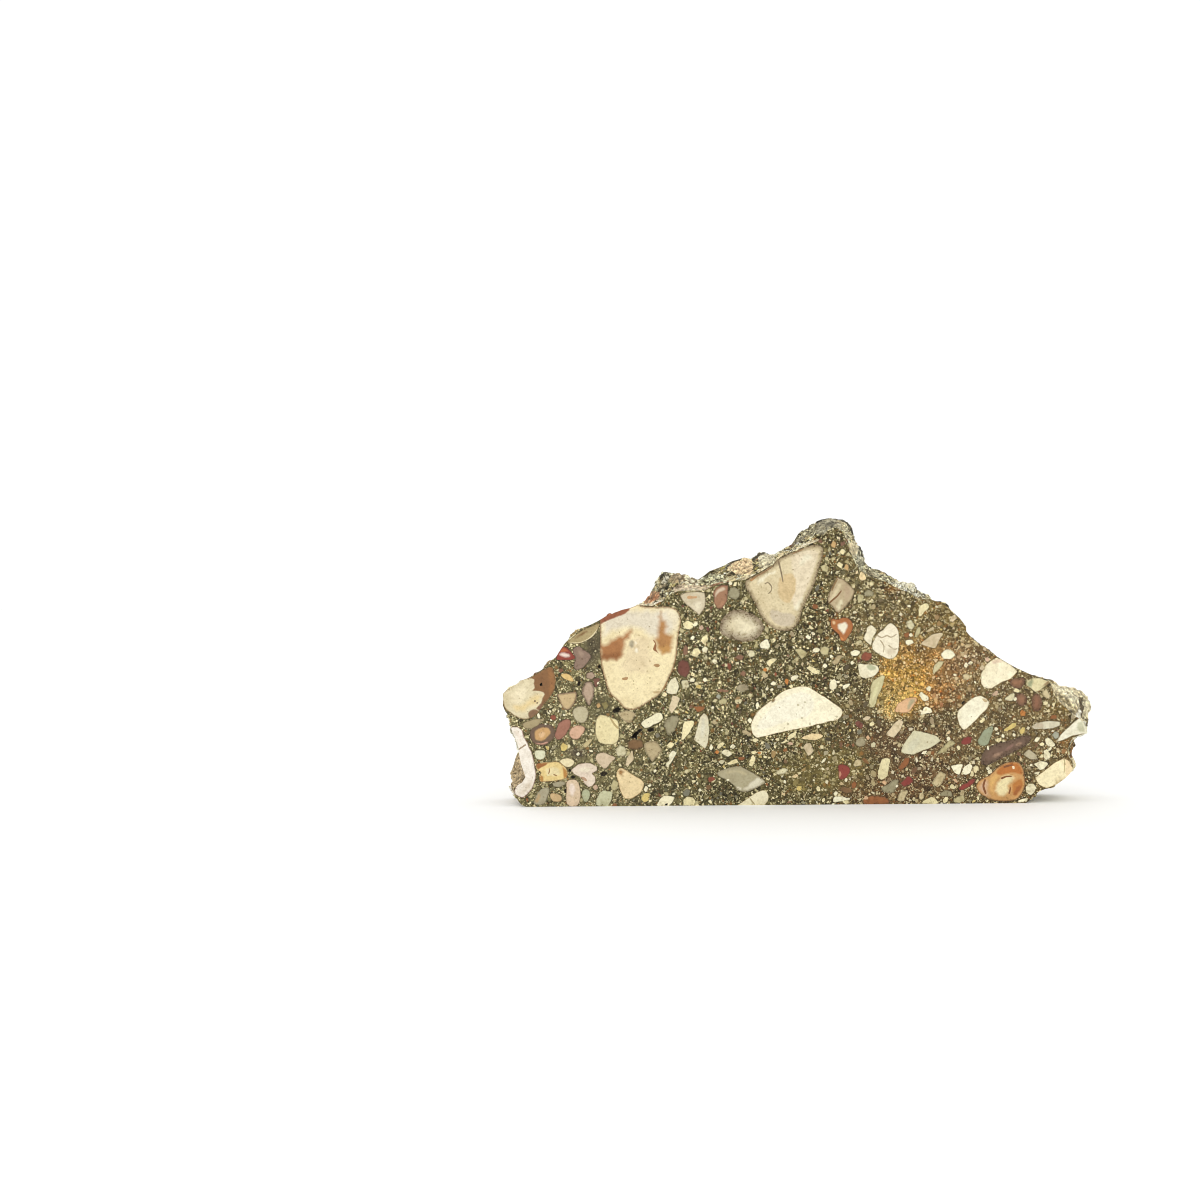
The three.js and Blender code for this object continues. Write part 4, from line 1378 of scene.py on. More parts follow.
class CutFace:
    """A saw cut through the stone, meshed so that every pebble has its own crisp edge."""

    HALO_WIDTH = 0.32
    HALO_DARKNESS = 0.42
    GRID_STEP = 1.3
    JITTER = 0.3  # of a grid step
    CLEARANCE = 0.16
    EDGE_MARGIN = 0.05
    LOOSE_MARGIN = 0.12
    LOOSE_GAP = 0.07

    def __init__(self, boundary: Outline, matrix_tint: Callable[[np.ndarray], np.ndarray], seed: int) -> None:
        """Starts a cut face.

        Args:
            boundary: The closed edge of the cut, in millimetres in its plane.
            matrix_tint: Gives the matrix's linear colour at points of the plane.
            seed: The seed of what is scattered on it.
        """
        self.boundary = boundary
        self.matrix_tint = matrix_tint
        self.rng = random.Random(seed)
        self.regions: list[Region] = []
        self.space = Occupancy(boundary.min(0), boundary.max(0))

    def add(self, region: Region) -> None:
        """Adds a region on top of those already there."""
        self.regions.append(region)
        self.space.claim(offset(region.outline, self.CLEARANCE * 0.5))

    def scatter(
        self,
        count: int,
        radius: tuple[float, float],
        wear: tuple[float, float],
        tone_at: Callable[[random.Random, Sequence[float]], Colour],
        density: Callable[[Sequence[float]], float] = lambda place: 1.0,
        rim_share: float = 0.0,
    ) -> int:
        """Scatters random pebbles or chips into the free room.

        Args:
            count: How many places are tried.
            radius: The least and greatest mean radius.
            wear: The least and greatest wear of their corners.
            tone_at: Picks a linear colour for a place.
            density: The chance, from 0 to 1, that a place keeps its pebble.
            rim_share: The breadth of a darker skin as a share of the radius.

        Returns:
            How many found room.
        """
        low, high = self.boundary.min(0), self.boundary.max(0)
        kept = 0
        for _ in range(count):
            centre = [self.rng.uniform(low[0], high[0]), self.rng.uniform(low[1], high[1])]
            size = radius[0] + (radius[1] - radius[0]) * self.rng.random() ** 2.2
            worn_by = self.rng.uniform(*wear)
            corners = self.rng.randint(3, 5) if size < 0.5 else self.rng.randint(5, 8)
            outline = blob(self.rng, centre, size, corners, worn_by)
            if size > 0.5:
                outline = worn(outline, 1 if size < 1.5 else 2, 0.1 + 0.14 * worn_by)
            keeps = self.rng.random() < density(centre)
            tint = tone_at(self.rng, centre)
            if not keeps or not self.space.is_free(offset(outline, self.CLEARANCE)):
                continue
            if size > 1.5 and not is_inside(self.boundary, np.array([centre]))[0]:
                continue
            skin = blend(tint, (0.05, 0.035, 0.02), 0.5)
            self.add(Region(outline, tint, skin, rim_share * size, soundness=self.rng.uniform(0.7, 1.0)))
            kept += 1
        return kept

    def _clipped_sides(self, points: Outline, inside: np.ndarray) -> list[tuple[tuple, tuple]]:
        """Cuts an outline at the boundary, so that it ends on the boundary's own points.

        Args:
            points: The outline.
            inside: Which of its points lie inside the boundary.

        Returns:
            Its sides, each between two keys: ("new", point), or ("edge", number) on the boundary.
        """
        sides = []
        keys = [("new", tuple(p)) if ok else None for p, ok in zip(points, inside)]
        for i, key in enumerate(keys):
            j = (i + 1) % len(keys)
            if key and keys[j]:
                sides.append((key, keys[j]))
            elif key or keys[j]:
                within, beyond = (i, j) if key else (j, i)
                shares = np.linspace(0.0, 1.0, 9)[:, None]
                line = points[within] * (1 - shares) + points[beyond] * shares
                crossing = line[min(int(is_inside(self.boundary, line).sum()), len(line) - 1)]
                nearest = int(np.argmin(np.linalg.norm(self.boundary - crossing, axis=1)))
                sides.append((keys[within], ("edge", nearest)))
        return sides

    def mesh(self) -> Patchwork:
        """Triangulates the face along every outline and tints it.

        Returns:
            The triangles in the plane of the cut, two coordinates to a point.
        """
        points: list[tuple[float, float]] = [tuple(p) for p in self.boundary]
        sides: list[tuple[int, int]] = [(i, (i + 1) % len(points)) for i in range(len(points))]
        known: dict = {("edge", i): i for i in range(len(points))}

        def number(key: tuple) -> int:
            """Gives a point's number, and takes the point in if it is new."""
            if key not in known:
                known[key] = len(points)
                points.append(key[1])
            return known[key]

        rings: list[Outline] = []
        every = np.concatenate([r.outline for r in self.regions])
        inside = is_inside(self.boundary, every) & (self._margin(every) > self.EDGE_MARGIN)
        ends = np.cumsum([len(r.outline) for r in self.regions])
        for region, within in zip(self.regions, np.split(inside, ends[:-1])):
            sides.extend((number(a), number(b)) for a, b in self._clipped_sides(region.outline, within))
            if region.depth:
                rings.extend([self._shrunk(region.outline, 0.62), self._shrunk(region.outline, 0.25)])
            elif region.has_skin:
                width = min(region.rim_width, 0.36 * region.breadth)
                rings.append(offset(region.outline, -width))
                if region.parent is None:
                    rings.append(offset(region.outline, self.HALO_WIDTH))
                if width > 0.4:
                    rings.append(offset(region.outline, -width * 0.5))
                if width > 1.2:
                    rings.append(offset(region.outline, -width * 0.75))
                    rings.append(offset(region.outline, -width * 0.25))
        taken = kdtree.KDTree(len(points))
        for i, point in enumerate(points):
            taken.insert((*point, 0.0), i)
        taken.balance()
        loose: list[tuple[float, float]] = []
        for ring in [self._grid_points(), *rings]:
            for point in ring:
                if taken.find((*point, 0.0))[2] > self.LOOSE_GAP:
                    loose.append(tuple(point))
        loose_points = np.array(loose)
        fits = is_inside(self.boundary, loose_points) & (self._margin(loose_points) > self.LOOSE_MARGIN)
        points.extend(tuple(p) for p in loose_points[fits])
        flat = [Vector(p) for p in points]
        result = delaunay_2d_cdt(flat, sides, [], 0, 1e-6, False)
        plane = np.array([tuple(v) for v in result[0]])
        faces = np.array([f for f in result[2] if len(f) == 3])
        centres = plane[faces].mean(1)
        corner = plane[faces]
        size = np.abs(np.cross(corner[:, 1] - corner[:, 0], corner[:, 2] - corner[:, 0]))
        keep = is_inside(self.boundary, centres) & (size > 1e-9)
        faces, centres = faces[keep], centres[keep]
        return self._tinted(plane, faces, centres)

    def _margin(self, points: np.ndarray) -> np.ndarray:
        """Gives each point's distance to the nearest point of the boundary, drawn finely."""
        steps = 6
        following = np.roll(self.boundary, -1, axis=0)
        shares = np.arange(steps)[:, None, None] / steps
        fine = (self.boundary * (1 - shares) + following * shares).reshape(-1, 2)
        tree = kdtree.KDTree(len(fine))
        for i, point in enumerate(fine):
            tree.insert((*point, 0.0), i)
        tree.balance()
        return np.array([tree.find((*p, 0.0))[2] for p in points])

    def _shrunk(self, outline: Outline, share: float) -> Outline:
        """Shrinks an outline about its middle."""
        middle = outline.mean(0)
        return middle + (outline - middle) * share

    def _grid_points(self) -> Outline:
        """Lays loose points over the face so that its tints can change smoothly."""
        low, high = self.boundary.min(0), self.boundary.max(0)
        rows = np.arange(low[1], high[1], self.GRID_STEP)
        across = np.arange(low[0], high[0], self.GRID_STEP)
        jitter = [
            (self.rng.uniform(-self.JITTER, self.JITTER), self.rng.uniform(-self.JITTER, self.JITTER))
            for _ in range(len(rows) * len(across))
        ]
        grid = np.array([(x, y) for y in rows for x in across])
        return grid + np.array(jitter) * self.GRID_STEP

    def _covered(self, centres: np.ndarray) -> list[np.ndarray]:
        """Finds for each region the faces that it covers, a patch only inside its pebble."""
        covers: list[np.ndarray] = []
        place: dict[int, int] = {}
        for index, region in enumerate(self.regions):
            low, high = region.outline.min(0), region.outline.max(0)
            near = np.flatnonzero(((centres >= low) & (centres <= high)).all(1))
            inside = near[is_inside(region.outline, centres[near])]
            if region.parent is not None:
                inside = np.intersect1d(inside, covers[place[id(region.parent)]])
            place[id(region)] = index
            covers.append(inside)
        return covers

    def _shade(self, plane: np.ndarray) -> np.ndarray:
        """Gives the darkening of the matrix close to a pebble."""
        pebbles = [r for r in self.regions if r.finish is Finish.CUT_PEBBLE and r.parent is None]
        edges = np.concatenate([r.outline for r in pebbles])
        halo = kdtree.KDTree(len(edges))
        for i, point in enumerate(edges):
            halo.insert((*point, 0.0), i)
        halo.balance()
        away = np.array([halo.find((*p, 0.0))[2] for p in plane])
        return 1 - self.HALO_DARKNESS * np.clip(1 - away / self.HALO_WIDTH, 0, 1)

    def _tinted(self, plane: np.ndarray, faces: np.ndarray, centres: np.ndarray) -> Patchwork:
        """Gives every face its finish and every corner its tint, painting the regions in their order."""
        finishes = np.zeros(len(faces), int)
        ground = self.matrix_tint(plane)
        ground[:, :3] *= self._shade(plane)[:, None]
        tints = ground[faces]
        depth = np.zeros(len(plane))
        on_top = np.full(len(faces), -1)
        covers = self._covered(centres)
        for index, (region, members) in enumerate(zip(self.regions, covers)):
            if not len(members):
                continue
            on_top[members] = index if region.parent is None else on_top[members]
            finishes[members] = region.finish.value
            corners = plane[faces[members]].reshape(-1, 2)
            coat = np.array([*region.tint, region.soundness])
            if region.parent is None:
                tints[members] = coat
            else:
                share = region.inwards(corners).reshape(-1, 3, 1)
                tints[members] = tints[members] * (1 - share) + coat * share
            if region.depth:
                inward = distance_to(region.outline, corners)
                reach = np.clip(inward / max(inward.max(), 1e-6) * 1.6, 0, 1)
                depth[faces[members].ravel()] = reach * region.depth
        for index, (region, members) in enumerate(zip(self.regions, covers)):
            members = members[on_top[members] == index]
            if len(members) and region.has_skin and region.parent is None:
                share = region.inwards(plane[faces[members]].reshape(-1, 2)).reshape(-1, 3, 1)
                tints[members] = tints[members] * share + np.array([*region.rim, 0.0]) * (1 - share)
        return Patchwork(np.column_stack([plane, depth]), faces, tints, finishes)


# ----------------------------------------------------------------------------------- matrix tints


class MatrixColours:
    """The colours of the gravel matrix over the stone, and of the chips in it."""

    LEFT_PLACE = (600, 700)
    RIGHT_PLACE = (940, 700)
    LEFT_TINT = linear("#8d8462")
    MIDDLE_TINT = linear("#7c724f")
    RIGHT_TINT = linear("#83704c")
    DULL_TONES = (
        (Tone.RUST, 7), (Tone.BROWN, 6), (Tone.RED_BROWN, 6), (Tone.SLATE, 7), (Tone.GREY_GREEN, 9),
        (Tone.OLIVE, 6), (Tone.SAGE, 7), (Tone.GREY, 6), (Tone.FAWN, 8), (Tone.TAN, 5), (Tone.MAROON, 3),
        (Tone.UMBER, 6), (Tone.BRICK, 3), (Tone.CHARCOAL, 3),
    )
    BRIGHT_TONES = (
        (Tone.CREAM, 20), (Tone.PALE_CREAM, 16), (Tone.WARM_CREAM, 10), (Tone.WHITE, 6), (Tone.PINK_CREAM, 4),
        (Tone.GOLD, 4), (Tone.BEIGE, 6), (Tone.PALE_SAGE, 4),
    )

    def __init__(self, sheet: TracingSheet) -> None:
        """Places the stains on the slab."""
        self.sheet = sheet
        self.left = sheet.place(*self.LEFT_PLACE)[0]
        self.right = sheet.place(*self.RIGHT_PLACE)[0]
        unit = sheet.mm_per_unit
        self.stains = [
            (
                np.array(sheet.place(*s.centre)), np.array(s.reach) * unit,
                np.array([*linear(s.tone), s.grain]), s.strength,
            )
            for s in STAINS
        ]

    def stained(self, points: np.ndarray, tints: np.ndarray, strength: float = 1.0) -> np.ndarray:
        """Lays the stains over tints at points of the front cut.

        Args:
            points: The places.
            tints: The red, green, blue and graininess at each place.
            strength: How much of the stains is laid on.

        Returns:
            The stained tints.
        """
        for centre, reach, tint, share_there in self.stains:
            ripple = np.array([noise.noise(Vector((p[0] * 0.35, p[1] * 0.35, centre[0]))) for p in points])
            away = np.linalg.norm((points - centre) / reach, axis=1) + 0.45 * ripple
            share = strength * share_there * np.clip(1.5 - 1.1 * away, 0, 1)[:, None]
            tints = tints * (1 - share) + tint * share
        return tints

    def front(self, points: np.ndarray) -> np.ndarray:
        """The matrix tint at points of the front cut, with its stains."""
        return self.stained(points, self.base(points))

    def base(self, points: np.ndarray) -> np.ndarray:
        """The matrix tint without stains, and its graininess: greener on the left, browner on the right."""
        share = np.clip((points[:, 0] - self.left) / (self.right - self.left), 0, 1)[:, None]
        left, middle, right = (np.array(t) for t in (self.LEFT_TINT, self.MIDDLE_TINT, self.RIGHT_TINT))
        low = left * (1 - np.minimum(share * 2, 1)) + middle * np.minimum(share * 2, 1)
        tints = low * (1 - np.clip(share * 2 - 1, 0, 1)) + right * np.clip(share * 2 - 1, 0, 1)
        ripple = np.array([noise.noise(Vector((p[0] * 0.16, p[1] * 0.16, 3.1))) for p in points])
        return np.column_stack([tints * (1 + 0.3 * ripple)[:, None], np.ones(len(points))])

    @staticmethod
    def _pick(rng: random.Random, tones: Sequence[tuple[Tone, int]], low: float, high: float) -> Colour:
        """Picks a tone by its weight and shades it."""
        names, weights = zip(*tones)
        tone = rng.choices(names, weights)[0]
        shade = rng.uniform(low, high)
        return tuple(min(1.0, c * shade) for c in linear(tone))

    def any_chip(self, rng: random.Random, place: Sequence[float]) -> Colour:
        """Picks the colour of a chip or a pebble of any kind."""
        if rng.random() < 0.45:
            return self._pick(rng, self.BRIGHT_TONES, 0.8, 1.05)
        return self._pick(rng, self.DULL_TONES, 0.8, 1.3)

    def dull_chip(self, rng: random.Random, place: Sequence[float]) -> Colour:
        """Picks the colour of a dull chip of the front cut, which takes the stain around it."""
        tint = np.array([[*self._pick(rng, self.DULL_TONES, 0.62, 1.1), 1.0]])
        return tuple(self.stained(np.array([place]), tint, 0.6)[0, :3])

    def bright_chip(self, rng: random.Random, place: Sequence[float]) -> Colour:
        """Picks the colour of a bright chip of the front cut, which takes a little of the stain around it."""
        tint = np.array([[*self._pick(rng, self.BRIGHT_TONES, 0.78, 1.04), 1.0]])
        return tuple(self.stained(np.array([place]), tint, 0.3)[0, :3])

    def chip_density(self, place: Sequence[float]) -> float:
        """The chance of a chip at a place: the middle of the stone has the most."""
        share = (place[0] - self.left) / (self.right - self.left)
        return 0.45 + 0.55 * min(1.0, max(0.0, share * 2.2))


# ----------------------------------------------------------------------------------- broken rind


@dataclass(frozen=True)
class RindPebble:
    """A pebble that shows in the broken rind: place on the sheet, depth share, radius and tone."""

    at: tuple[float, float]
    depth: float
    radius: float
    tone: str
    band: str | None = None


RIND_PEBBLES = (
    RindPebble((1084, 706), 0.6, 3.2, "#dcd2b6", "#7b6a4e"),
    RindPebble((1066, 692), 0.45, 3.2, "#dcd5bf"),
    RindPebble((741, 567), 0.62, 2.6, "#ead6b2"),
    RindPebble((763, 559), 0.62, 1.9, "#efe6c8"),
    RindPebble((652, 597), 0.4, 2.0, "#a9876c"),
    RindPebble((687, 580), 0.6, 3.2, "#e2d9bd", "#8a7c62"),
    RindPebble((677, 586), 0.25, 1.5, "#4a4232"),
    RindPebble((856, 556), 0.5, 2.8, "#ddd8be", "#8f8b74"),
    RindPebble((826, 523), 0.6, 2.4, "#9a8f78"),
    RindPebble((517, 773), 0.5, 3.4, "#c5ad86", "#9a7c54"),
    RindPebble((512, 730), 0.7, 2.4, "#b5a78c"),
    RindPebble((503, 700), 0.5, 3.4, "#b79d6c"),
    RindPebble((547, 665), 0.72, 2.8, "#8f7a58"),
    RindPebble((575, 634), 0.35, 1.9, "#b19a6c"),
    RindPebble((603, 618), 0.75, 2.6, "#a8895e"),
    RindPebble((622, 610), 0.4, 2.2, "#93673f"),
    RindPebble((796, 536), 0.8, 2.0, "#6b6250"),
    RindPebble((906, 586), 0.7, 2.8, "#dcd6c0"),
    RindPebble((950, 610), 0.55, 2.6, "#6a5238"),
    RindPebble((966, 628), 0.75, 2.4, "#9a7c55"),
    RindPebble((1000, 660), 0.6, 4.2, "#e2dabf"),
    RindPebble((1034, 677), 0.35, 1.8, "#c9c09c"),
    RindPebble((1086, 729), 0.4, 2.2, "#d6d3ba"),
    RindPebble((1069, 748), 0.55, 2.2, "#8d6b42"),
    RindPebble((1070, 772), 0.6, 3.6, "#e3d6b2"),
    RindPebble((1040, 795), 0.5, 1.9, "#b59c6c"),
    RindPebble((514, 797), 0.65, 2.4, "#cbbfa4"),
)


@dataclass(frozen=True)
class RindMark:
    """A band, ledge, streak or crevice on the part of the rind that shows from the front, or a thin dark line of
    painted shade along its top edge.

    Attributes:
        tone: Its colour.
        outline: Its edge on the sheet, as the eye of the sheet sees it.
        plain: How far it hides the grains of the rind.
    """

    tone: str
    outline: str
    plain: float = 0.75


RIND_MARKS = (
    RindMark("#beb496", "664,578 668,571 684,569 706,570 706,576 686,575 668,578", 0.5),
    RindMark("#aa7753", "643,602 647,597 653,591 659,591 660,593 655,599 651,604 646,604"),
    RindMark("#ded3ba", "631,614 629.5,610 633,606 640,604 647,604 655,601 653,605 643,610 635,614"),
    RindMark("#463e30", "655,591 658,584 664,576 668,572 671,576 668,583 664,589 660,593", 0.5),
    RindMark("#e8e2cc", "661,583 664,577 668,575 668,579 664,584", 0.7),
    RindMark("#9c8768", "669,578 674,573 685,573 685,579 678,583 670,583"),
    RindMark(
        "#d4c0a6",
        "673,588 680,584 695,585 710,587 724,585 727,589 720,592 710,591.5 695,589 682,590 674,593",
    ),
    RindMark("#c8c8aa", "699,577 708,574 724,575 724,582 712,585 700,584", 0.6),
    RindMark("#e6c9a0", "728,564 735,562 740,558 751,558 753,565 752,572 745,576 737,574 730,569"),
    RindMark("#6a6048", "753.6,557 755.4,555 757.6,556 756.8,563 755.4,568 753.6,566", 0.6),
    RindMark("#e6dcbe", "759,555 764,552 775,553 775,562 770,568 762,570 759,566"),
    RindMark("#dccda0", "728,577 733,576 737,579 735,584 729,584"),
    RindMark("#cdceb8", "773,553 777,549 781,550 780,554 775,555"),
    RindMark("#beb89e", "780,541 790,533 804,526 816,520 816,532 806,538 794,543 784,545", 0.45),
    RindMark("#e2d8bc", "795,550 804,545 812,542.5 816,540 816,543 807,547 797,552", 0.7),
    RindMark("#96917d", "814,530 818,520 828,516 840,518 842,526 838,532 826,534 817,534", 0.7),
    RindMark("#585246", "824,524 830,521 835,523 833,527 826,528", 0.7),
    RindMark("#d8ceb0", "841,518 846,520 853,532 854,540 846,538 842,530", 0.55),
    RindMark("#decfac", "850,543 855,541 858,548 857,555 853,557 849,550"),
    RindMark("#bebea6", "848,556 856,554 864,566 862,572 852,568", 0.5),
    RindMark("#c4c2aa", "860,560 874,564 889,574 888,582 872,577 860,570", 0.5),
    RindMark("#f0ebd4", "888,580 900,584 924,592 926,599 908,596 892,590 888,586", 0.6),
    RindMark("#b09a72", "880,568 884,566 887,570 885,575 880,574", 0.7),
    RindMark(
        "#d8ccaa",
        "1046,689 1052,683 1060,684 1070,685.6 1078,687 1086,693 1091,701 1090,712 1085,720 1078,722"
        " 1070,716 1060,708 1052,700", 0.9,
    ),
    RindMark("#e8dec0", "1056,686 1066,688 1074,692 1079,698 1079,704 1074,703 1066,696 1058,691", 0.9),
    RindMark("#d8ceae", "1082.4,694 1088,697 1091,704 1090,712 1085,720 1082,716 1083,706", 0.9),
    RindMark(
        "#988a68",
        "1052,691 1060,695 1068,701 1074,707 1080,710 1080,712 1073,709 1066,704 1058,698 1051,693", 0.9,
    ),
    RindMark("#6e6450", "1050,696 1058,701 1066,707 1072,712 1071,713.4 1064,709 1056,703 1049,698", 0.9),
    RindMark("#544632", "1078,698 1082,697.6 1084,708 1082,716 1080,716 1080,707", 0.9),
    RindMark("#3c362a", "1052,703 1058,706 1066,711 1070,716 1066,717 1060,712 1054,708", 0.8),
    RindMark("#ece8da", "1074,722 1077,712 1079,709 1081,711 1080,720 1078,724", 0.9),
    RindMark("#9c7c4e", "1072,740 1078,738 1080,752 1076,764 1073,758", 0.6),
    RindMark("#aa9a68", "1032,797 1042,789 1054,784 1058,788 1048,798 1036,806", 0.5),
    # The next eight dark marks are painted shade: thin dark lines laid along the top edges of the rind.
    RindMark(
        "#3a3428",
        "660,579 664,572 668,570 676,570.6 684,572 684,573.4 676,572.6 668,572.2 665,575 662,580", 0.9,
    ),
    RindMark("#3a3428", "690,572 700,574 706,573.4 706,575.4 700,576 690,574", 0.9),
    RindMark("#3a3428", "726,566 734,560 742,557.6 742,559.4 735,562 727,568", 0.9),
    RindMark(
        "#3a3428",
        "752,560 757,554 764,552 772,552 780,546 786,540 787,542 781,548 773,554 764,554 758,556.6 753.6,562", 0.9,
    ),
    RindMark(
        "#2c2820",
        "816,522 824,517.6 832,516.6 840,517.4 846,520.6 852,528 858,541 864,556 870,563 876,566 882,568"
        " 888,574 887,575.6 881,570.4 874,567.6 868,563.6 862,556 856,541 850,530 844,522.4 838,519.6"
        " 830,518.8 823,520 817,524", 0.9,
    ),
    RindMark(
        "#2c2820",
        "936,599 944,603 952,609 960,617 966,626 966,630 963,628 957,619 950,611.6 943,606 936,602", 0.9,
    ),
    RindMark("#332c22", "968,634 974,638 982,644 992,652 991,653.4 981,646 973,640.4 967,637", 0.9),
    RindMark(
        "#2c2820",
        "1010,664 1022,670 1034,675 1046,680 1050,681 1049,682.6 1040,679.6 1022,672.4 1010,666.4", 0.8,
    ),
    RindMark(
        "#c2c0b0",
        "504,720 507.7,718 509.7,724.7 512.6,732.5 516.5,739.3 518.5,746 517.5,753 514,752 513.5,744"
        " 509.6,736.4 505.7,729.6", 0.9,
    ),
    RindMark(
        "#baa583",
        "514,753 518.9,754 521.8,761.7 524.8,769.5 526.7,774.3 523.8,781 519.9,787 516.5,792.8 511.6,789"
        " 510.6,782 507.7,775 509.6,767.5 511.6,759.7", 0.93,
    ),
)


class BrokenRind:
    """The rough broken flanks and top of the stone, refined from the frame's solid."""

    REFINE_LEVELS = 2
    GRAIN_SIZE = 1.15
    GRAIN_RELIEF = 0.2
    CRACK_DEPTH = 0.22
    FINE_SIZE = 0.55
    FINE_RELIEF = 0.07
    EDGE_FADE = 0.5
    MARK_PITCH = 1.1
    MARK_SHIFT = Vector((9, 9, 9))
    MARK_WANDER = 0.3  # how far a mark's edge strays
    RIND_TONES = (
        (Tone.GREY, 12), (Tone.FAWN, 12), (Tone.UMBER, 9), (Tone.CHARCOAL, 6), (Tone.BEIGE, 14),
        (Tone.PALE_CREAM, 22), (Tone.CREAM, 14), (Tone.OLIVE, 8), (Tone.BROWN, 3), (Tone.PINK_CREAM, 6),
        (Tone.RED_BROWN, 2), (Tone.SAGE, 10), (Tone.SLATE, 4), (Tone.WHITE, 20), (Tone.PALE_SAGE, 14),
    )

    def __init__(self, sheet: TracingSheet, thickness: float, front_y: float) -> None:
        """Places the rind's pebbles.

        Args:
            sheet: The sheet that they are drawn on.
            thickness: The distance between the two saw cuts.
            front_y: Where the front cut lies along Y.
        """
        self.front_y = front_y
        self.pebbles = []
        for pebble in RIND_PEBBLES:
            back = pebble.depth * thickness
            x, z = sheet.place(*pebble.at, back)
            band = linear(pebble.band) if pebble.band else None
            self.pebbles.append((Vector((x, front_y + back, z)), pebble.radius, linear(pebble.tone), band))
        self.front_pebbles: list[Region] = []
        self.sheet = sheet
        self.marks = [(sheet.outline(m.outline), linear(m.tone), m.plain) for m in RIND_MARKS]

    @staticmethod
    def refine(points: np.ndarray, faces: np.ndarray) -> tuple[np.ndarray, np.ndarray]:
        """Splits every triangle in four and eases the new mesh, keeping its edge in its planes.

        Args:
            points: The vertices.
            faces: The triangles.

        Returns:
            The finer vertices and triangles.
        """
        sides = np.sort(np.concatenate([faces[:, [0, 1]], faces[:, [1, 2]], faces[:, [2, 0]]]), axis=1)
        unique, place, uses = np.unique(sides, axis=0, return_inverse=True, return_counts=True)
        place = place.reshape(-1)
        middles = points[unique].mean(1)
        ab, bc, ca = (place[i * len(faces) : (i + 1) * len(faces)] + len(points) for i in range(3))
        a, b, c = faces.T
        finer = np.concatenate([
            np.stack([a, ab, ca], 1), np.stack([b, bc, ab], 1),
            np.stack([c, ca, bc], 1), np.stack([ab, bc, ca], 1),
        ])
        points = np.concatenate([points, middles])
        return BrokenRind.eased(points, finer), finer

    @staticmethod
    def eased(points: np.ndarray, faces: np.ndarray) -> np.ndarray:
        """Moves every vertex half way to the middle of its neighbours; edge vertices stay on the edge."""
        sides = np.concatenate([faces[:, [0, 1]], faces[:, [1, 2]], faces[:, [2, 0]]])
        unique, uses = np.unique(np.sort(sides, axis=1), axis=0, return_counts=True)
        rim = unique[uses == 1]
        on_rim = np.zeros(len(points), bool)
        on_rim[rim.ravel()] = True
        total, count = np.zeros_like(points), np.zeros(len(points))
        inner = unique
        for first, second in ((inner[:, 0], inner[:, 1]), (inner[:, 1], inner[:, 0])):
            np.add.at(total, first, points[second])
            np.add.at(count, first, 1)
        moved = points * 0.5 + 0.5 * total / count[:, None]
        moved[on_rim] = points[on_rim]
        return moved

    @staticmethod
    def normals(points: np.ndarray, faces: np.ndarray) -> np.ndarray:
        """Gives each vertex the mean direction of its faces."""
        corner = points[faces]
        facing = np.cross(corner[:, 1] - corner[:, 0], corner[:, 2] - corner[:, 0])
        total = np.zeros_like(points)
        for k in range(3):
            np.add.at(total, faces[:, k], facing)
        return total / np.maximum(np.linalg.norm(total, axis=1, keepdims=True), 1e-12)

    def roughened(self, points: np.ndarray, faces: np.ndarray, thickness: float) -> np.ndarray:
        """Raises grains and pebbles and opens cracks on the refined rind.

        Args:
            points: The refined vertices.
            faces: The refined triangles.
            thickness: The distance between the two saw cuts.

        Returns:
            The moved vertices; the edges of the cuts and of the foot stay in their planes.
        """
        facing = self.normals(points, faces)
        moved = points.copy()
        for i, (point, normal) in enumerate(zip(points, facing)):
            depth = point[1] - self.front_y
            margin = min(depth, thickness - depth)
            fade = min(1.0, margin / self.EDGE_FADE) * min(1.0, point[2] / self.EDGE_FADE)
            if fade <= 0:
                continue
            at = Vector(point)
            near, _ = noise.voronoi(at / self.GRAIN_SIZE)
            grain = self.GRAIN_RELIEF * min(1.0, (near[1] - near[0]) * 2.2)
            crack = -self.CRACK_DEPTH * max(0.0, 1 - (near[1] - near[0]) * 6)
            crag = 0.34 * noise.turbulence(at / 1.9, 3, False)
            fine = self.FINE_RELIEF * noise.fractal(at / self.FINE_SIZE, 1.0, 2.0, 3)
            moved[i] = point + normal * (grain + crack + crag + fine - 0.26) * fade
        moved[:, 1] = np.clip(moved[:, 1], self.front_y, self.front_y + thickness)
        moved[:, 2] = np.maximum(moved[:, 2], 0.0)
        return moved

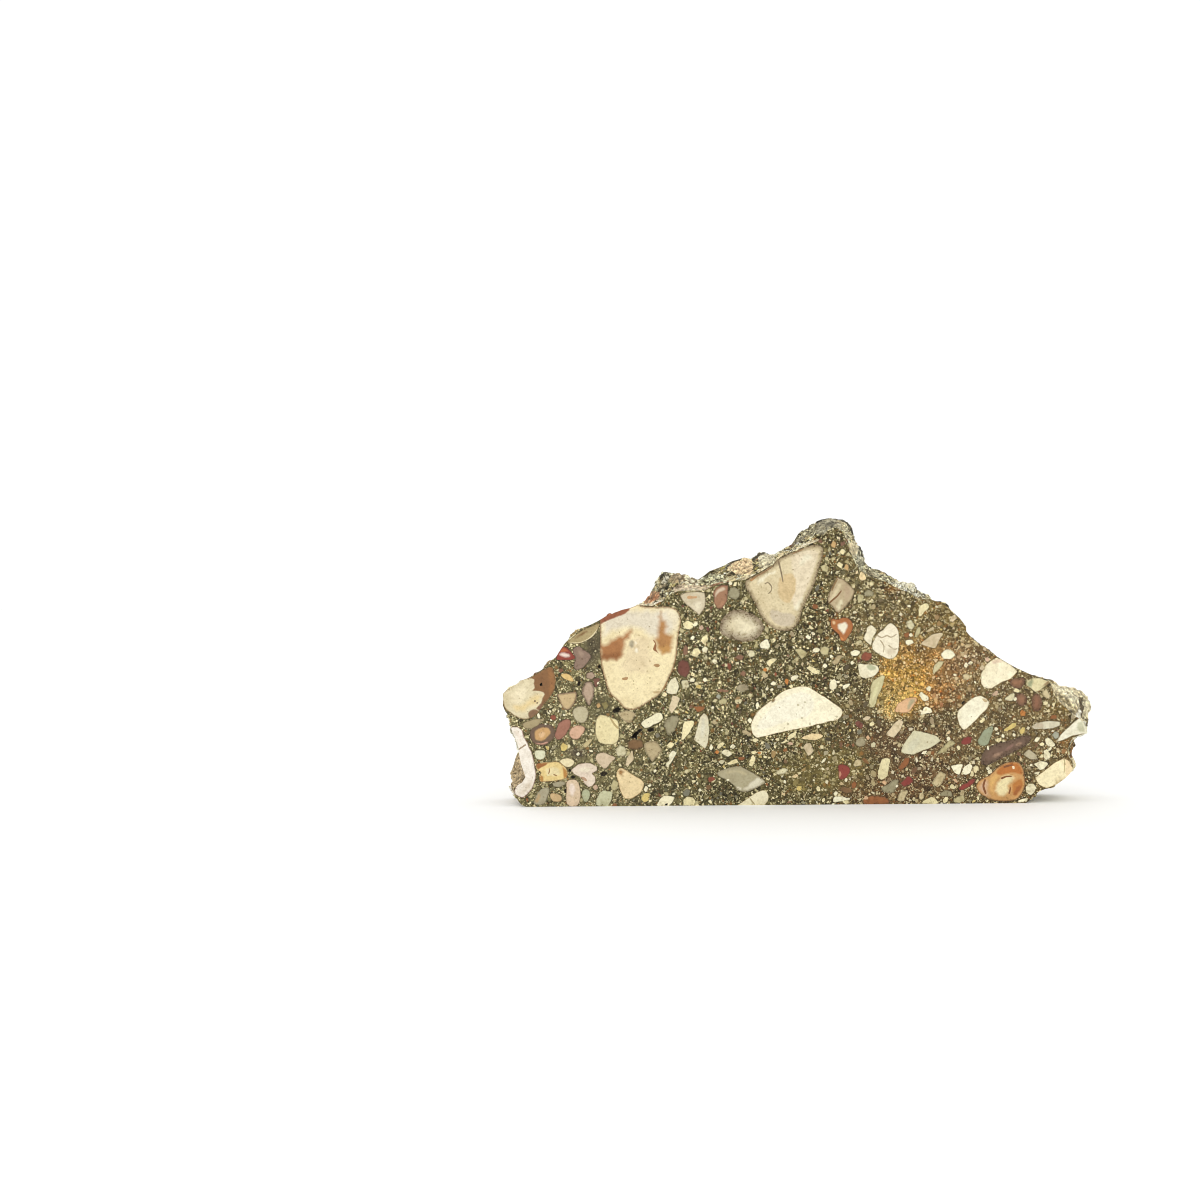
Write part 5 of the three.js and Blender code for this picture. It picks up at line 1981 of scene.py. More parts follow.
    def tinted(
        self, points: np.ndarray, faces: np.ndarray, matrix: MatrixColours
    ) -> tuple[np.ndarray, np.ndarray]:
        """Gives the rind's faces their grain and pebble colours, with painted shade in its hollows and painted
        light on its raised grains.

        Args:
            points: The vertices.
            faces: The triangles.
            matrix: The colours of the matrix.

        Returns:
            A tint for each corner and a finish for each face.
        """
        painted_relief = self.relief_for_painted_shade(points, faces)
        tones, weights = zip(*self.RIND_TONES)
        palette = [linear(t) for t in tones]
        total = sum(weights)
        steps = np.cumsum(weights) / total
        tints = np.ones((len(faces), 3, 4))
        finishes = np.full(len(faces), Finish.BROKEN_RIND.value)
        base = matrix.base(points[:, [0, 2]])
        centres = points[faces].mean(1)
        carried_on = self.cut_pebble_tints(centres)
        for i, centre in enumerate(centres):
            at = Vector(centre)
            _, seeds = noise.voronoi(at / self.GRAIN_SIZE)
            pick = noise.cell(seeds[0] * 7.31 + Vector((0.37, 0.11, 0.53))) * 0.5 + 0.5
            tint = palette[min(int(np.searchsorted(steps, pick)), len(palette) - 1)]
            tint = blend(tint, base[faces[i, 0]], 0.22)
            found = self.pebble_at(at) or carried_on.get(i)
            if found is not None:
                tint = found
                finishes[i] = Finish.WEATHERED_PEBBLE.value
            tints[i, :, :3] = tint
        self.mark(centres, tints, finishes)
        # Painted shade and light: the colour is darkened in the rind's hollows and lightened on its raised grains.
        tints[:, :, :3] *= np.clip(1.0 + 3.6 * painted_relief, 0.18, 1.3)[faces][:, :, None]
        return tints, finishes

    def mark(self, centres: np.ndarray, tints: np.ndarray, finishes: np.ndarray) -> None:
        """Lays the marks of the sheet, painted shade lines among them, over the rind that shows from the front.

        Args:
            centres: The middles of the rind's faces.
            tints: Their tints, which are changed.
            finishes: Their finishes, which are changed.
        """
        seen = self.sheet.seen(centres[:, [0, 2]], centres[:, 1] - self.front_y)
        spots = [Vector(c) * self.MARK_PITCH for c in centres]
        seen += np.array([[noise.noise(c), noise.noise(c + self.MARK_SHIFT)] for c in spots]) * self.MARK_WANDER
        for outline, tint, plain in self.marks:
            near = np.flatnonzero(((seen >= outline.min(0)) & (seen <= outline.max(0))).all(1))
            within = near[is_inside(outline, seen[near])] if len(near) else near
            tints[within, :, :3] = tints[within, :, :3] * (1 - plain) + np.array(tint) * plain
            if plain > 0.6:
                finishes[within] = Finish.WEATHERED_PEBBLE.value

    def pebble_at(self, at: Vector) -> Colour | None:
        """The tint of the named pebble at a place on the rind, if there is one."""
        wobble = 0.25 * noise.noise(at * 0.9)
        for centre, radius, tint, band in self.pebbles:
            away = (at - centre).length / radius + wobble
            if away < 0.86:
                if band is not None and math.sin(away * 13.0 + at.z * 1.3) > 0.62:
                    return band
                return tint
        return None

    def cut_pebble_tints(self, centres: np.ndarray) -> dict[int, Colour]:
        """Finds where pebbles of the front cut go on round its edge.

        Args:
            centres: The middles of the rind's faces.

        Returns:
            The tint of each face that such a pebble covers.
        """
        depth = centres[:, 1] - self.front_y
        flat = centres[:, [0, 2]]
        ripple = np.array([noise.noise(Vector(c) * 0.8) for c in centres])
        found: dict[int, Colour] = {}
        for region in self.front_pebbles:
            reach = np.minimum(0.45 * region.breadth, 2.4) * (1 + 1.4 * ripple)
            low, high = region.outline.min(0) - 1.6, region.outline.max(0) + 1.6
            near = np.flatnonzero((depth < reach) & (reach > 0.1) & (flat > low).all(1) & (flat < high).all(1))
            if not len(near):
                continue
            swell = 1.3 * np.sqrt(np.maximum(0.0, 1 - (depth[near] / reach[near]) ** 2))
            covers = is_inside(region.outline, flat[near]) | (distance_to(region.outline, flat[near]) < swell)
            found.update({int(i): region.tint for i in near[covers]})
        return found

    @staticmethod
    def relief_for_painted_shade(points: np.ndarray, faces: np.ndarray) -> np.ndarray:
        """Measures how far each vertex stands out (positive) or sinks in (negative), in mm, for the painted shade
        and light of the rind.
        """
        facing = BrokenRind.normals(points, faces)
        sides = np.concatenate([faces[:, [0, 1]], faces[:, [1, 2]], faces[:, [2, 0]]])
        smooth = points
        for _ in range(3):
            total, count = np.zeros_like(points), np.zeros(len(points))
            for first, second in ((sides[:, 0], sides[:, 1]), (sides[:, 1], sides[:, 0])):
                np.add.at(total, first, smooth[second])
                np.add.at(count, first, 1)
            smooth = 0.4 * smooth + 0.6 * total / count[:, None]
        return ((points - smooth) * facing).sum(1)


# ----------------------------------------------------------------------------------- materials


class NodeSheet:
    """A small helper that lays out a material's nodes."""

    def __init__(self, name: str) -> None:
        """Starts an empty material with a Principled shader."""
        self.material = bpy.data.materials.new(name)
        self.material.use_nodes = True
        self.tree = self.material.node_tree
        self.tree.nodes.clear()
        self.output = self.tree.nodes.new("ShaderNodeOutputMaterial")
        self.shader = self.tree.nodes.new("ShaderNodeBsdfPrincipled")
        self.link(self.shader.outputs["BSDF"], self.output.inputs["Surface"])

    def add(self, kind: str, **settings: object) -> bpy.types.Node:
        """Adds a node and sets its properties or, by a name in capitals, its sockets."""
        node = self.tree.nodes.new(kind)
        for key, value in settings.items():
            if hasattr(node, key):
                setattr(node, key, value)
            else:
                node.inputs[key.replace("_", " ")].default_value = value
        return node

    def link(self, source: Socket, target: Socket) -> None:
        """Joins two sockets."""
        self.tree.links.new(source, target)

    def coordinates(self) -> Socket:
        """Gives object coordinates in millimetres."""
        source = self.add("ShaderNodeTexCoord")
        scale = self.add("ShaderNodeVectorMath", operation="SCALE")
        scale.inputs["Scale"].default_value = 1 / MM
        self.link(source.outputs["Object"], scale.inputs[0])
        return scale.outputs["Vector"]

    def noise(self, at: Socket, size: float, detail: float = 3.0) -> bpy.types.Node:
        """Adds noise whose features are about a size in millimetres."""
        node = self.add("ShaderNodeTexNoise")
        node.inputs["Scale"].default_value = 1 / size
        node.inputs["Detail"].default_value = detail
        self.link(at, node.inputs["Vector"])
        return node

    def grains(self, at: Socket, size: float, feature: str = "F1") -> bpy.types.Node:
        """Adds Voronoi grains of a size in millimetres."""
        node = self.add("ShaderNodeTexVoronoi", feature=feature)
        node.inputs["Scale"].default_value = 1 / size
        self.link(at, node.inputs["Vector"])
        return node

    def warped(self, at: Socket, size: float, reach: float) -> Socket:
        """Bends coordinates by noise of a size and a reach in millimetres, so that grains aren't regular."""
        bend = self.add("ShaderNodeVectorMath", operation="MULTIPLY_ADD")
        self.link(self.noise(at, size, 1.0).outputs["Color"], bend.inputs[0])
        bend.inputs[1].default_value = (reach * 2,) * 3
        self.link(at, bend.inputs[2])
        return bend.outputs["Vector"]

    def below(self, source: Socket, limit: float) -> Socket:
        """Gives 1 where a number lies below a limit, and 0 elsewhere."""
        node = self.add("ShaderNodeMath", operation="LESS_THAN")
        self.link(source, node.inputs[0])
        node.inputs[1].default_value = limit
        return node.outputs[0]

    def ramp(
        self, source: Socket, stops: Iterable[tuple[float, Sequence[float]]], constant: bool = False
    ) -> Socket:
        """Maps a number to colours."""
        node = self.add("ShaderNodeValToRGB")
        node.color_ramp.interpolation = "CONSTANT" if constant else "LINEAR"
        stops = list(stops)
        while len(node.color_ramp.elements) < len(stops):
            node.color_ramp.elements.new(1.0)
        for element, (position, colour) in zip(node.color_ramp.elements, stops):
            element.position = position
            element.color = (*colour, 1.0)
        self.link(source, node.inputs["Fac"])
        return node.outputs["Color"]

    def mix(
        self, kind: str, share: Socket | float, first: Socket, second: Socket | Sequence[float]
    ) -> Socket:
        """Mixes two colours by a blend type and a share."""
        node = self.add("ShaderNodeMix", data_type="RGBA", blend_type=kind)
        node.clamp_result = True
        if isinstance(share, (int, float)):
            node.inputs[0].default_value = share
        else:
            self.link(share, node.inputs[0])
        self.link(first, node.inputs[6])
        if isinstance(second, Socket):
            self.link(second, node.inputs[7])
        else:
            node.inputs[7].default_value = (*second, 1.0)
        return node.outputs[2]

    def spread(self, source: Socket, low: float, high: float, first: float = 0.0, last: float = 1.0) -> Socket:
        """Maps a number from one range to another."""
        node = self.add("ShaderNodeMapRange")
        for name, value in (("From Min", low), ("From Max", high), ("To Min", first), ("To Max", last)):
            node.inputs[name].default_value = value
        self.link(source, node.inputs["Value"])
        return node.outputs["Result"]

    def times(self, first: Socket, second: Socket | float) -> Socket:
        """Multiplies two numbers."""
        node = self.add("ShaderNodeMath", operation="MULTIPLY")
        self.link(first, node.inputs[0])
        if isinstance(second, (int, float)):
            node.inputs[1].default_value = second
        else:
            self.link(second, node.inputs[1])
        return node.outputs[0]

    def plus(self, first: Socket, second: Socket) -> Socket:
        """Adds two numbers."""
        node = self.add("ShaderNodeMath", operation="ADD")
        self.link(first, node.inputs[0])
        self.link(second, node.inputs[1])
        return node.outputs[0]

    def bump(self, height: Socket, depth_mm: float, strength: float) -> None:
        """Raises the surface by a height, whose full range stands for a depth in millimetres."""
        node = self.add("ShaderNodeBump")
        node.inputs["Strength"].default_value = strength
        node.inputs["Distance"].default_value = depth_mm * MM
        self.link(height, node.inputs["Height"])
        self.link(node.outputs["Normal"], self.shader.inputs["Normal"])


@dataclass(frozen=True)
class GravelMatrix:
    """The sawn matrix: dark mud full of fine pale sand, with grit and fine gravel of several colours."""

    name: str = "gravel_matrix"
    gravel_size: float = 0.66
    grit_size: float = 0.37
    sand_size: float = 0.21
    gravel_share: float = 0.12
    grit_share: float = 0.36
    specular: float = 0.25
    brightest: float = 1.75

    SHADES = (
        (0.0, (0.14, 0.13, 0.09)), (0.12, (0.29, 0.28, 0.21)), (0.34, (0.44, 0.44, 0.36)),
        (0.54, (0.6, 0.6, 0.5)),
        (0.65, (0.66, 0.42, 0.26)), (0.7, (0.42, 0.47, 0.47)), (0.745, (0.86, 0.87, 0.74)),
    )
    CREAM_SHARES = (
        (0.0, (0.0, 0.0, 0.0)), (0.745, (0.2, 0.2, 0.2)), (0.82, (0.38, 0.38, 0.38)),
        (0.89, (0.64, 0.64, 0.64)),
        (0.945, (0.96, 0.96, 0.96)),
    )
    SAND_CREAM = linear("#f1e5b6")
    GOLD_SAND = linear("#f6cf86")
    IRON = (0.2, 0.5)
    SEAM_SHADE = (0.42, 0.39, 0.29)

    def build(self) -> bpy.types.Material:
        """Makes the material."""
        sheet = NodeSheet(self.name)
        at = sheet.warped(sheet.coordinates(), 0.5, 0.16)
        attribute = sheet.add("ShaderNodeAttribute", attribute_name="tint")
        tint = attribute.outputs["Color"]
        sizes = (self.sand_size, self.grit_size, self.gravel_size)
        sand, grit, gravel = (sheet.grains(at, size) for size in sizes)
        sand_pick, grit_pick, gravel_pick = (self._randoms(sheet, layer) for layer in (sand, grit, gravel))
        is_grit = sheet.below(grit_pick.outputs["Green"], self.grit_share)
        is_gravel = sheet.below(gravel_pick.outputs["Green"], self.gravel_share)
        grain = sheet.mix("MIX", is_grit, sand_pick.outputs["Red"], grit_pick.outputs["Red"])
        grain = sheet.mix("MIX", is_gravel, grain, gravel_pick.outputs["Red"])
        away = sheet.mix("MIX", is_grit, sand.outputs["Distance"], grit.outputs["Distance"])
        away = sheet.mix("MIX", is_gravel, away, gravel.outputs["Distance"])
        lit = sheet.add("ShaderNodeVectorMath", operation="SCALE")
        lit.inputs["Scale"].default_value = self.brightest
        sheet.link(sheet.ramp(grain, self.SHADES, constant=True), lit.inputs[0])
        base = sheet.mix("MULTIPLY", 1.0, tint, lit.outputs["Vector"])
        parts = sheet.add("ShaderNodeSeparateColor")
        sheet.link(tint, parts.inputs["Color"])
        iron = sheet.add("ShaderNodeMath", operation="SUBTRACT")
        sheet.link(parts.outputs["Red"], iron.inputs[0])
        sheet.link(parts.outputs["Blue"], iron.inputs[1])
        rustiness = sheet.spread(iron.outputs[0], *self.IRON)
        bright = sheet.ramp(rustiness, [(0.0, self.SAND_CREAM), (1.0, self.GOLD_SAND)])
        base = sheet.mix("MIX", sheet.ramp(grain, self.CREAM_SHARES, constant=True), base, bright)
        seam = sheet.spread(away, 0.42, 0.7)
        shade = sheet.ramp(seam, [(0.0, (1.0, 1.0, 1.0)), (1.0, self.SEAM_SHADE)])
        base = sheet.mix("MULTIPLY", 1.0, base, shade)
        mud = sheet.mix("MULTIPLY", 1.0, tint, sheet.ramp(
            sheet.noise(at, 0.6, 4.0).outputs["Fac"], [(0.3, (0.72, 0.7, 0.66)), (0.7, (1.0, 1.0, 1.0))]))
        base = sheet.mix("MIX", attribute.outputs["Alpha"], mud, base)
        sheet.link(base, sheet.shader.inputs["Base Color"])
        rough = sheet.spread(grit_pick.outputs["Blue"], 0.0, 1.0, 0.42, 0.72)
        sheet.link(rough, sheet.shader.inputs["Roughness"])
        sheet.shader.inputs["Specular IOR Level"].default_value = self.specular
        level = sheet.spread(seam, 0.0, 1.0, 1.0, 0.0)
        sheet.bump(sheet.plus(level, sheet.times(grit_pick.outputs["Red"], 0.6)), 0.05, 0.5)
        return sheet.material

    def _randoms(self, sheet: NodeSheet, grains: bpy.types.Node) -> bpy.types.Node:
        """Splits the colours of a layer of grains into three random numbers for each grain."""
        pick = sheet.add("ShaderNodeSeparateColor")
        sheet.link(grains.outputs["Color"], pick.inputs["Color"])
        return pick


@dataclass(frozen=True)
class CutPebble:
    """A pebble sawn through: fine stone with clouds, mottling and flecks, and a stippled edge."""

    name: str = "cut_pebble"
    cloud_size: float = 5.0
    mottle_size: float = 1.1
    sand_size: float = 0.3
    stipple_size: float = 0.2
    vein_size: float = 0.8
    specular: float = 0.4

    STIPPLE_SHADE = (0.42, 0.36, 0.27)

    def build(self) -> bpy.types.Material:
        """Makes the material."""
        sheet = NodeSheet(self.name)
        at = sheet.coordinates()
        attribute = sheet.add("ShaderNodeAttribute", attribute_name="tint")
        tint = attribute.outputs["Color"]
        cloud = sheet.noise(sheet.warped(at, 2.0, 1.0), self.cloud_size, 3.0)
        clouds = sheet.ramp(cloud.outputs["Fac"], [
            (0.3, (0.85, 0.81, 0.72)), (0.46, (0.99, 0.98, 0.95)), (0.66, (1.05, 1.05, 1.03)),
        ])
        base = sheet.mix("MULTIPLY", 0.7, tint, clouds)
        mottle = sheet.noise(at, self.mottle_size, 4.0)
        mottling = sheet.ramp(mottle.outputs["Fac"], [
            (0.3, (0.82, 0.79, 0.74)), (0.48, (1.0, 1.0, 0.99)), (0.64, (1.03, 1.03, 1.03)),
        ])
        base = sheet.mix("MULTIPLY", 0.5, base, mottling)
        sand_pick = sheet.add("ShaderNodeSeparateColor")
        sheet.link(sheet.grains(at, self.sand_size).outputs["Color"], sand_pick.inputs["Color"])
        sanding = sheet.ramp(sand_pick.outputs["Red"], [
            (0.0, (0.62, 0.56, 0.46)), (0.006, (0.86, 0.84, 0.8)), (0.25, (0.94, 0.93, 0.91)),
            (0.6, (1.0, 1.0, 1.0)),
        ], constant=True)
        base = sheet.mix("MULTIPLY", 0.75, base, sanding)
        pitted = sheet.spread(attribute.outputs["Alpha"], 0.97, 0.7, 0.06, 1.0)
        veins = sheet.noise(sheet.warped(at, 1.3, 0.5), self.vein_size, 5.0)
        base = sheet.mix("MULTIPLY", pitted, base, sheet.ramp(veins.outputs["Fac"], [
            (0.32, (0.62, 0.58, 0.48)), (0.44, (0.9, 0.88, 0.83)), (0.52, (1.0, 1.0, 0.98)),
            (0.64, (1.07, 1.07, 1.06)),
        ]))
        dots = sheet.add("ShaderNodeSeparateColor")
        stipple = sheet.grains(sheet.warped(at, 0.4, 0.1), self.stipple_size)
        sheet.link(stipple.outputs["Color"], dots.inputs["Color"])
        chance = sheet.ramp(attribute.outputs["Alpha"], [
            (0.0, (0.34, 0.34, 0.34)), (0.4, (0.08, 0.08, 0.08)), (0.65, (0.01, 0.01, 0.01)),
            (0.8, (0.003, 0.003, 0.003)),
            (1.0, (0.0, 0.0, 0.0)),
        ])
        stippled = sheet.add("ShaderNodeMath", operation="LESS_THAN")
        sheet.link(dots.outputs["Green"], stippled.inputs[0])
        sheet.link(chance, stippled.inputs[1])
        base = sheet.mix("MIX", stippled.outputs[0], base, sheet.mix("MULTIPLY", 1.0, base, self.STIPPLE_SHADE))
        sheet.link(base, sheet.shader.inputs["Base Color"])
        sheet.link(sheet.spread(mottle.outputs["Fac"], 0.3, 0.7, 0.4, 0.58), sheet.shader.inputs["Roughness"])
        sheet.shader.inputs["Specular IOR Level"].default_value = self.specular
        fine = sheet.noise(at, 0.35, 3.0)
        sheet.bump(fine.outputs["Fac"], 0.03, 0.35)
        return sheet.material


@dataclass(frozen=True)
class BrokenStone:
    """The broken, weathered surface of the rind, or of a pebble that stands in it."""

    name: str
    grain_size: float
    grain_share: float
    relief: float
    specular: float = 0.25

    def build(self) -> bpy.types.Material:
        """Makes the material."""
        sheet = NodeSheet(self.name)
        at = sheet.warped(sheet.coordinates(), 0.8, 0.3)
        tint = sheet.add("ShaderNodeAttribute", attribute_name="tint").outputs["Color"]
        grains = sheet.grains(at, self.grain_size)
        pick = sheet.add("ShaderNodeSeparateColor")
        sheet.link(grains.outputs["Color"], pick.inputs["Color"])
        speckle = sheet.ramp(pick.outputs["Red"], [
            (0.0, (0.1, 0.09, 0.07)), (0.16, (0.38, 0.36, 0.31)), (0.34, (0.8, 0.79, 0.74)),
            (0.62, (1.2, 1.18, 1.1)),
            (0.82, (1.7, 1.68, 1.55)),
        ], constant=True)
        base = sheet.mix("MULTIPLY", self.grain_share, tint, speckle)
        cloud = sheet.noise(at, 1.3, 5.0)
        clouds = sheet.ramp(cloud.outputs["Fac"], [
            (0.34, (0.5, 0.46, 0.38)), (0.48, (1.0, 1.0, 1.0)), (0.7, (1.2, 1.18, 1.12)),
        ])
        base = sheet.mix("MULTIPLY", 0.85, base, clouds)
        cracks = sheet.add("ShaderNodeMath", operation="ABSOLUTE")
        middle = sheet.add("ShaderNodeMath", operation="SUBTRACT")
        sheet.link(sheet.noise(at, 2.2, 6.0).outputs["Fac"], middle.inputs[0])
        middle.inputs[1].default_value = 0.5
        sheet.link(middle.outputs[0], cracks.inputs[0])
        base = sheet.mix("MULTIPLY", self.grain_share, base, sheet.ramp(cracks.outputs[0], [
            (0.0, (0.16, 0.14, 0.11)), (0.016, (0.4, 0.38, 0.33)), (0.035, (1.0, 1.0, 1.0)),
        ]))
        sheet.link(base, sheet.shader.inputs["Base Color"])
        sheet.link(sheet.spread(pick.outputs["Green"], 0.0, 1.0, 0.62, 0.92), sheet.shader.inputs["Roughness"])
        sheet.shader.inputs["Specular IOR Level"].default_value = self.specular
        fine = sheet.noise(at, 0.5, 5.0)
        sheet.bump(sheet.plus(fine.outputs["Fac"], sheet.times(pick.outputs["Blue"], 0.5)), self.relief, 0.8)
        return sheet.material


@dataclass(frozen=True)
class VugLining:
    """The dark inside of a hole in the cut."""

    name: str = "vug_lining"

    def build(self) -> bpy.types.Material:
        """Makes the material."""
        sheet = NodeSheet(self.name)
        at = sheet.coordinates()
        cloud = sheet.noise(at, 0.4, 4.0)
        sheet.link(
            sheet.ramp(cloud.outputs["Fac"], [
                (0.3, linear("#1d1a14")), (0.6, linear("#40382a")), (0.75, linear("#6f6248")),
            ]),
            sheet.shader.inputs["Base Color"],
        )
        sheet.shader.inputs["Roughness"].default_value = 0.9
        sheet.bump(cloud.outputs["Fac"], 0.15, 1.0)
        return sheet.material


# ----------------------------------------------------------------------------------- the slab


@dataclass
class FrameSolid:
    """The slab's solid as the frame gives it, sorted into its saw cuts and its rind, in millimetres."""

    points: np.ndarray
    faces: np.ndarray
    front_y: float
    back_y: float

    PLANE_TOLERANCE = 0.004

    @classmethod
    def read(cls, node: bpy.types.Object) -> "FrameSolid":
        """Reads the solid and joins the vertices that stand in the same place."""
        mesh = node.data
        raw = np.array([tuple(v.co) for v in mesh.vertices]) / MM
        mesh.calc_loop_triangles()
        triangles = np.array([tuple(t.vertices) for t in mesh.loop_triangles])
        _, first, place = np.unique(np.round(raw, 4), axis=0, return_index=True, return_inverse=True)
        points = raw[first]
        faces = place.reshape(-1)[triangles]
        faces = faces[(faces[:, 0] != faces[:, 1]) & (faces[:, 1] != faces[:, 2]) & (faces[:, 2] != faces[:, 0])]
        return cls(points, faces, float(points[:, 1].min()), float(points[:, 1].max()))

    def _flat(self, axis: int, level: float) -> np.ndarray:
        """Says which faces lie in a plane across an axis."""
        return (np.abs(self.points[self.faces][:, :, axis] - level) < self.PLANE_TOLERANCE).all(1)

    def rind_faces(self) -> np.ndarray:
        """The triangles of the rind, without the cuts, the foot and the linings of the vugs."""
        loose = self.faces[~(self._flat(1, self.front_y) | self._flat(1, self.back_y) | self._flat(2, 0.0))]
        owner = np.arange(len(self.points))
        while True:
            lowest = owner[loose].min(1)
            before = owner.copy()
            for k in range(3):
                np.minimum.at(owner, loose[:, k], lowest)
            owner = owner[owner]
            if (owner == before).all():
                break
        names, sizes = np.unique(owner[loose[:, 0]], return_counts=True)
        return loose[owner[loose[:, 0]] == names[np.argmax(sizes)]]


class PuddingstoneSlab:
    """The whole stone: a front, a back and a foot that are saw cuts, and a broken rind between them."""

    DULL_CHIP_TRIES = 2600
    BRIGHT_CHIP_TRIES = 4600
    BACK_CHIP_TRIES = 3600
    FOOT_CHIP_TRIES = 700
    SHADE_VARIATION = 0.06
    SMALL_GROWTH = 0.05
    FOOT_STEP = 0.45
    BROAD_PATCH = 0.4

    def __init__(self, node: bpy.types.Object) -> None:
        """Measures the frame's solid.

        Args:
            node: The frame's object for the slab.
        """
        self.solid = FrameSolid.read(node)
        depth = np.abs(self.solid.points[:, 1] - self.solid.front_y)
        front = self.solid.points[depth < FrameSolid.PLANE_TOLERANCE]
        foot = front[np.abs(front[:, 2]) < FrameSolid.PLANE_TOLERANCE][:, 0]
        self.sheet = TracingSheet(float(foot.min()), float(foot.max()))
        self.thickness = self.solid.back_y - self.solid.front_y
        self.colours = MatrixColours(self.sheet)
        self.rind = BrokenRind(self.sheet, self.thickness, self.solid.front_y)

    # ----- the rind

    def build_rind(self) -> tuple[np.ndarray, np.ndarray]:
        """Refines and roughens the rind of the frame's solid."""
        faces = self.solid.rind_faces()
        used, faces = np.unique(faces, return_inverse=True)
        points, faces = self.solid.points[used], faces.reshape(-1, 3)
        for _ in range(BrokenRind.REFINE_LEVELS):
            points, faces = BrokenRind.refine(points, faces)
        points = self.rind.roughened(points, faces, self.thickness)
        return np.round(points, SEAM_PLACES), faces

    @staticmethod
    def edge_loop(points: np.ndarray, faces: np.ndarray) -> list[int]:
        """Orders the open edge of the rind into one loop of vertices."""
        sides = np.concatenate([faces[:, [0, 1]], faces[:, [1, 2]], faces[:, [2, 0]]])
        unique, uses = np.unique(np.sort(sides, axis=1), axis=0, return_counts=True)
        neighbours: dict[int, list[int]] = {}
        for a, b in unique[uses == 1]:
            neighbours.setdefault(int(a), []).append(int(b))
            neighbours.setdefault(int(b), []).append(int(a))
        start = next(iter(neighbours))
        loop, previous = [start], -1
        while True:
            step = [n for n in neighbours[loop[-1]] if n != previous]
            previous = loop[-1]
            if step[0] == start and len(loop) > 2:
                break
            loop.append(step[0])
        return loop

    def split_loop(self, points: np.ndarray, loop: list[int]) -> tuple[Outline, Outline, Outline]:
        """Splits the rind's edge into the edges of the front cut, the back cut and the foot.

        Args:
            points: The rind's vertices.
            loop: Its open edge in order.

        Returns:
            Each cut's closed edge in its own plane: x and z, x and z, x and y.
        """
        ring = points[loop]
        near = FrameSolid.PLANE_TOLERANCE

        def run(level_axis: int, level: float) -> np.ndarray:
            """Gives the stretch of the ring that lies at one level."""
            member = np.abs(ring[:, level_axis] - level) < near
            start = int(np.flatnonzero(member & ~np.roll(member, 1))[0])
            turned = np.roll(np.arange(len(ring)), -start)
            return ring[[i for i in turned if member[i]]]

        front, back = run(1, self.solid.front_y), run(1, self.solid.back_y)
        front_foot, back_foot = self._foot_line(front), self._foot_line(back)
        flank_ends = [front[-1], *front_foot, front[0]]
        on_foot = ring[(ring[:, 2] < near) & (np.abs(np.abs(ring[:, 1]) - self.thickness / 2) > near)]
        middle = on_foot[:, 0].mean()
        low_side = sorted(on_foot[on_foot[:, 0] < middle].tolist(), key=lambda p: p[1])
        high_side = sorted(on_foot[on_foot[:, 0] >= middle].tolist(), key=lambda p: -p[1])
        if front[0][0] > front[-1][0]:
            flank_ends.reverse()
        back_row = [back[-1], *back_foot, back[0]]
        if back[0][0] > back[-1][0]:
            back_row.reverse()
        foot = np.array([*flank_ends, *low_side, *reversed(back_row), *high_side])
        return (
            np.concatenate([front, front_foot])[:, [0, 2]],
            np.concatenate([back, back_foot])[:, [0, 2]],
            foot[:, [0, 1]],
        )

    def _foot_line(self, run: np.ndarray) -> np.ndarray:
        """Lays points along the foot from the end of a run of the edge back to its start."""
        start, end = run[-1], run[0]
        steps = int(np.linalg.norm(end - start) / self.FOOT_STEP)
        shares = (np.arange(1, steps) / steps)[:, None]
        return np.round(start * (1 - shares) + end * shares, SEAM_PLACES)

    # ----- the cuts

    def front_cut(self, boundary: Outline) -> CutFace:
        """Draws the front cut with every pebble of the sheet."""
        face = CutFace(boundary, self.colours.front, seed=11)
        for pebble in LARGE_PEBBLES:
            outline = self.sheet.outline(pebble.outline)
            outline = curved(outline, 2) if pebble.rounded else worn(outline, 1, 0.12)
            outline = ragged(outline, 0.7, 0.06)
            body = Region(
                outline, linear(pebble.tone), linear(pebble.rim), pebble.rim_width, soundness=pebble.soundness
            )
            face.add(body)
            for patch in pebble.patches:
                for text in patch.outlines:
                    face.add(self._patch_region(patch, text, body))
        rng = random.Random(5)
        for tone, outlines in SMALL_PEBBLES.items():
            for text in outlines:
                face.add(self._small_pebble(tone, self.sheet.outline(text), rng))
        for x, y, radius in BRIGHT_GRAINS:
            centre, size = self.sheet.place(x, y), radius * self.sheet.mm_per_unit
            tone = rng.choice([Tone.CREAM, Tone.PALE_CREAM, Tone.WHITE])
            face.add(Region(blob(rng, centre, size, 7, 0.5), linear(tone), soundness=0.9))
        for text, depth in VUGS:
            face.add(Region(self.sheet.outline(text), linear(Tone.CHARCOAL), finish=Finish.VUG, depth=depth))
        dull = face.scatter(
            self.DULL_CHIP_TRIES, (0.2, 0.62), (0.0, 0.7), self.colours.dull_chip, self.colours.chip_density
        )
        bright = face.scatter(
            self.BRIGHT_CHIP_TRIES, (0.12, 0.46), (0.0, 0.6), self.colours.bright_chip, self.colours.chip_density
        )
        log.info("front cut: %d regions, %d dull and %d bright chips", len(face.regions), dull, bright)
        return face

    def _patch_region(self, patch: Patch, text: str, body: Region) -> Region:
        """Draws a patch, ragged and fading into its pebble where it is broad enough for that."""
        outline = curved(self.sheet.outline(text), 2)
        region = Region(outline, linear(patch.tone), parent=body, soundness=body.soundness)
        if region.slimness > self.BROAD_PATCH:
            region.outline = ragged(region.outline, 0.35, 0.3 * patch.soft * min(1.0, region.slimness))
            region.rim_width = patch.soft
        return region

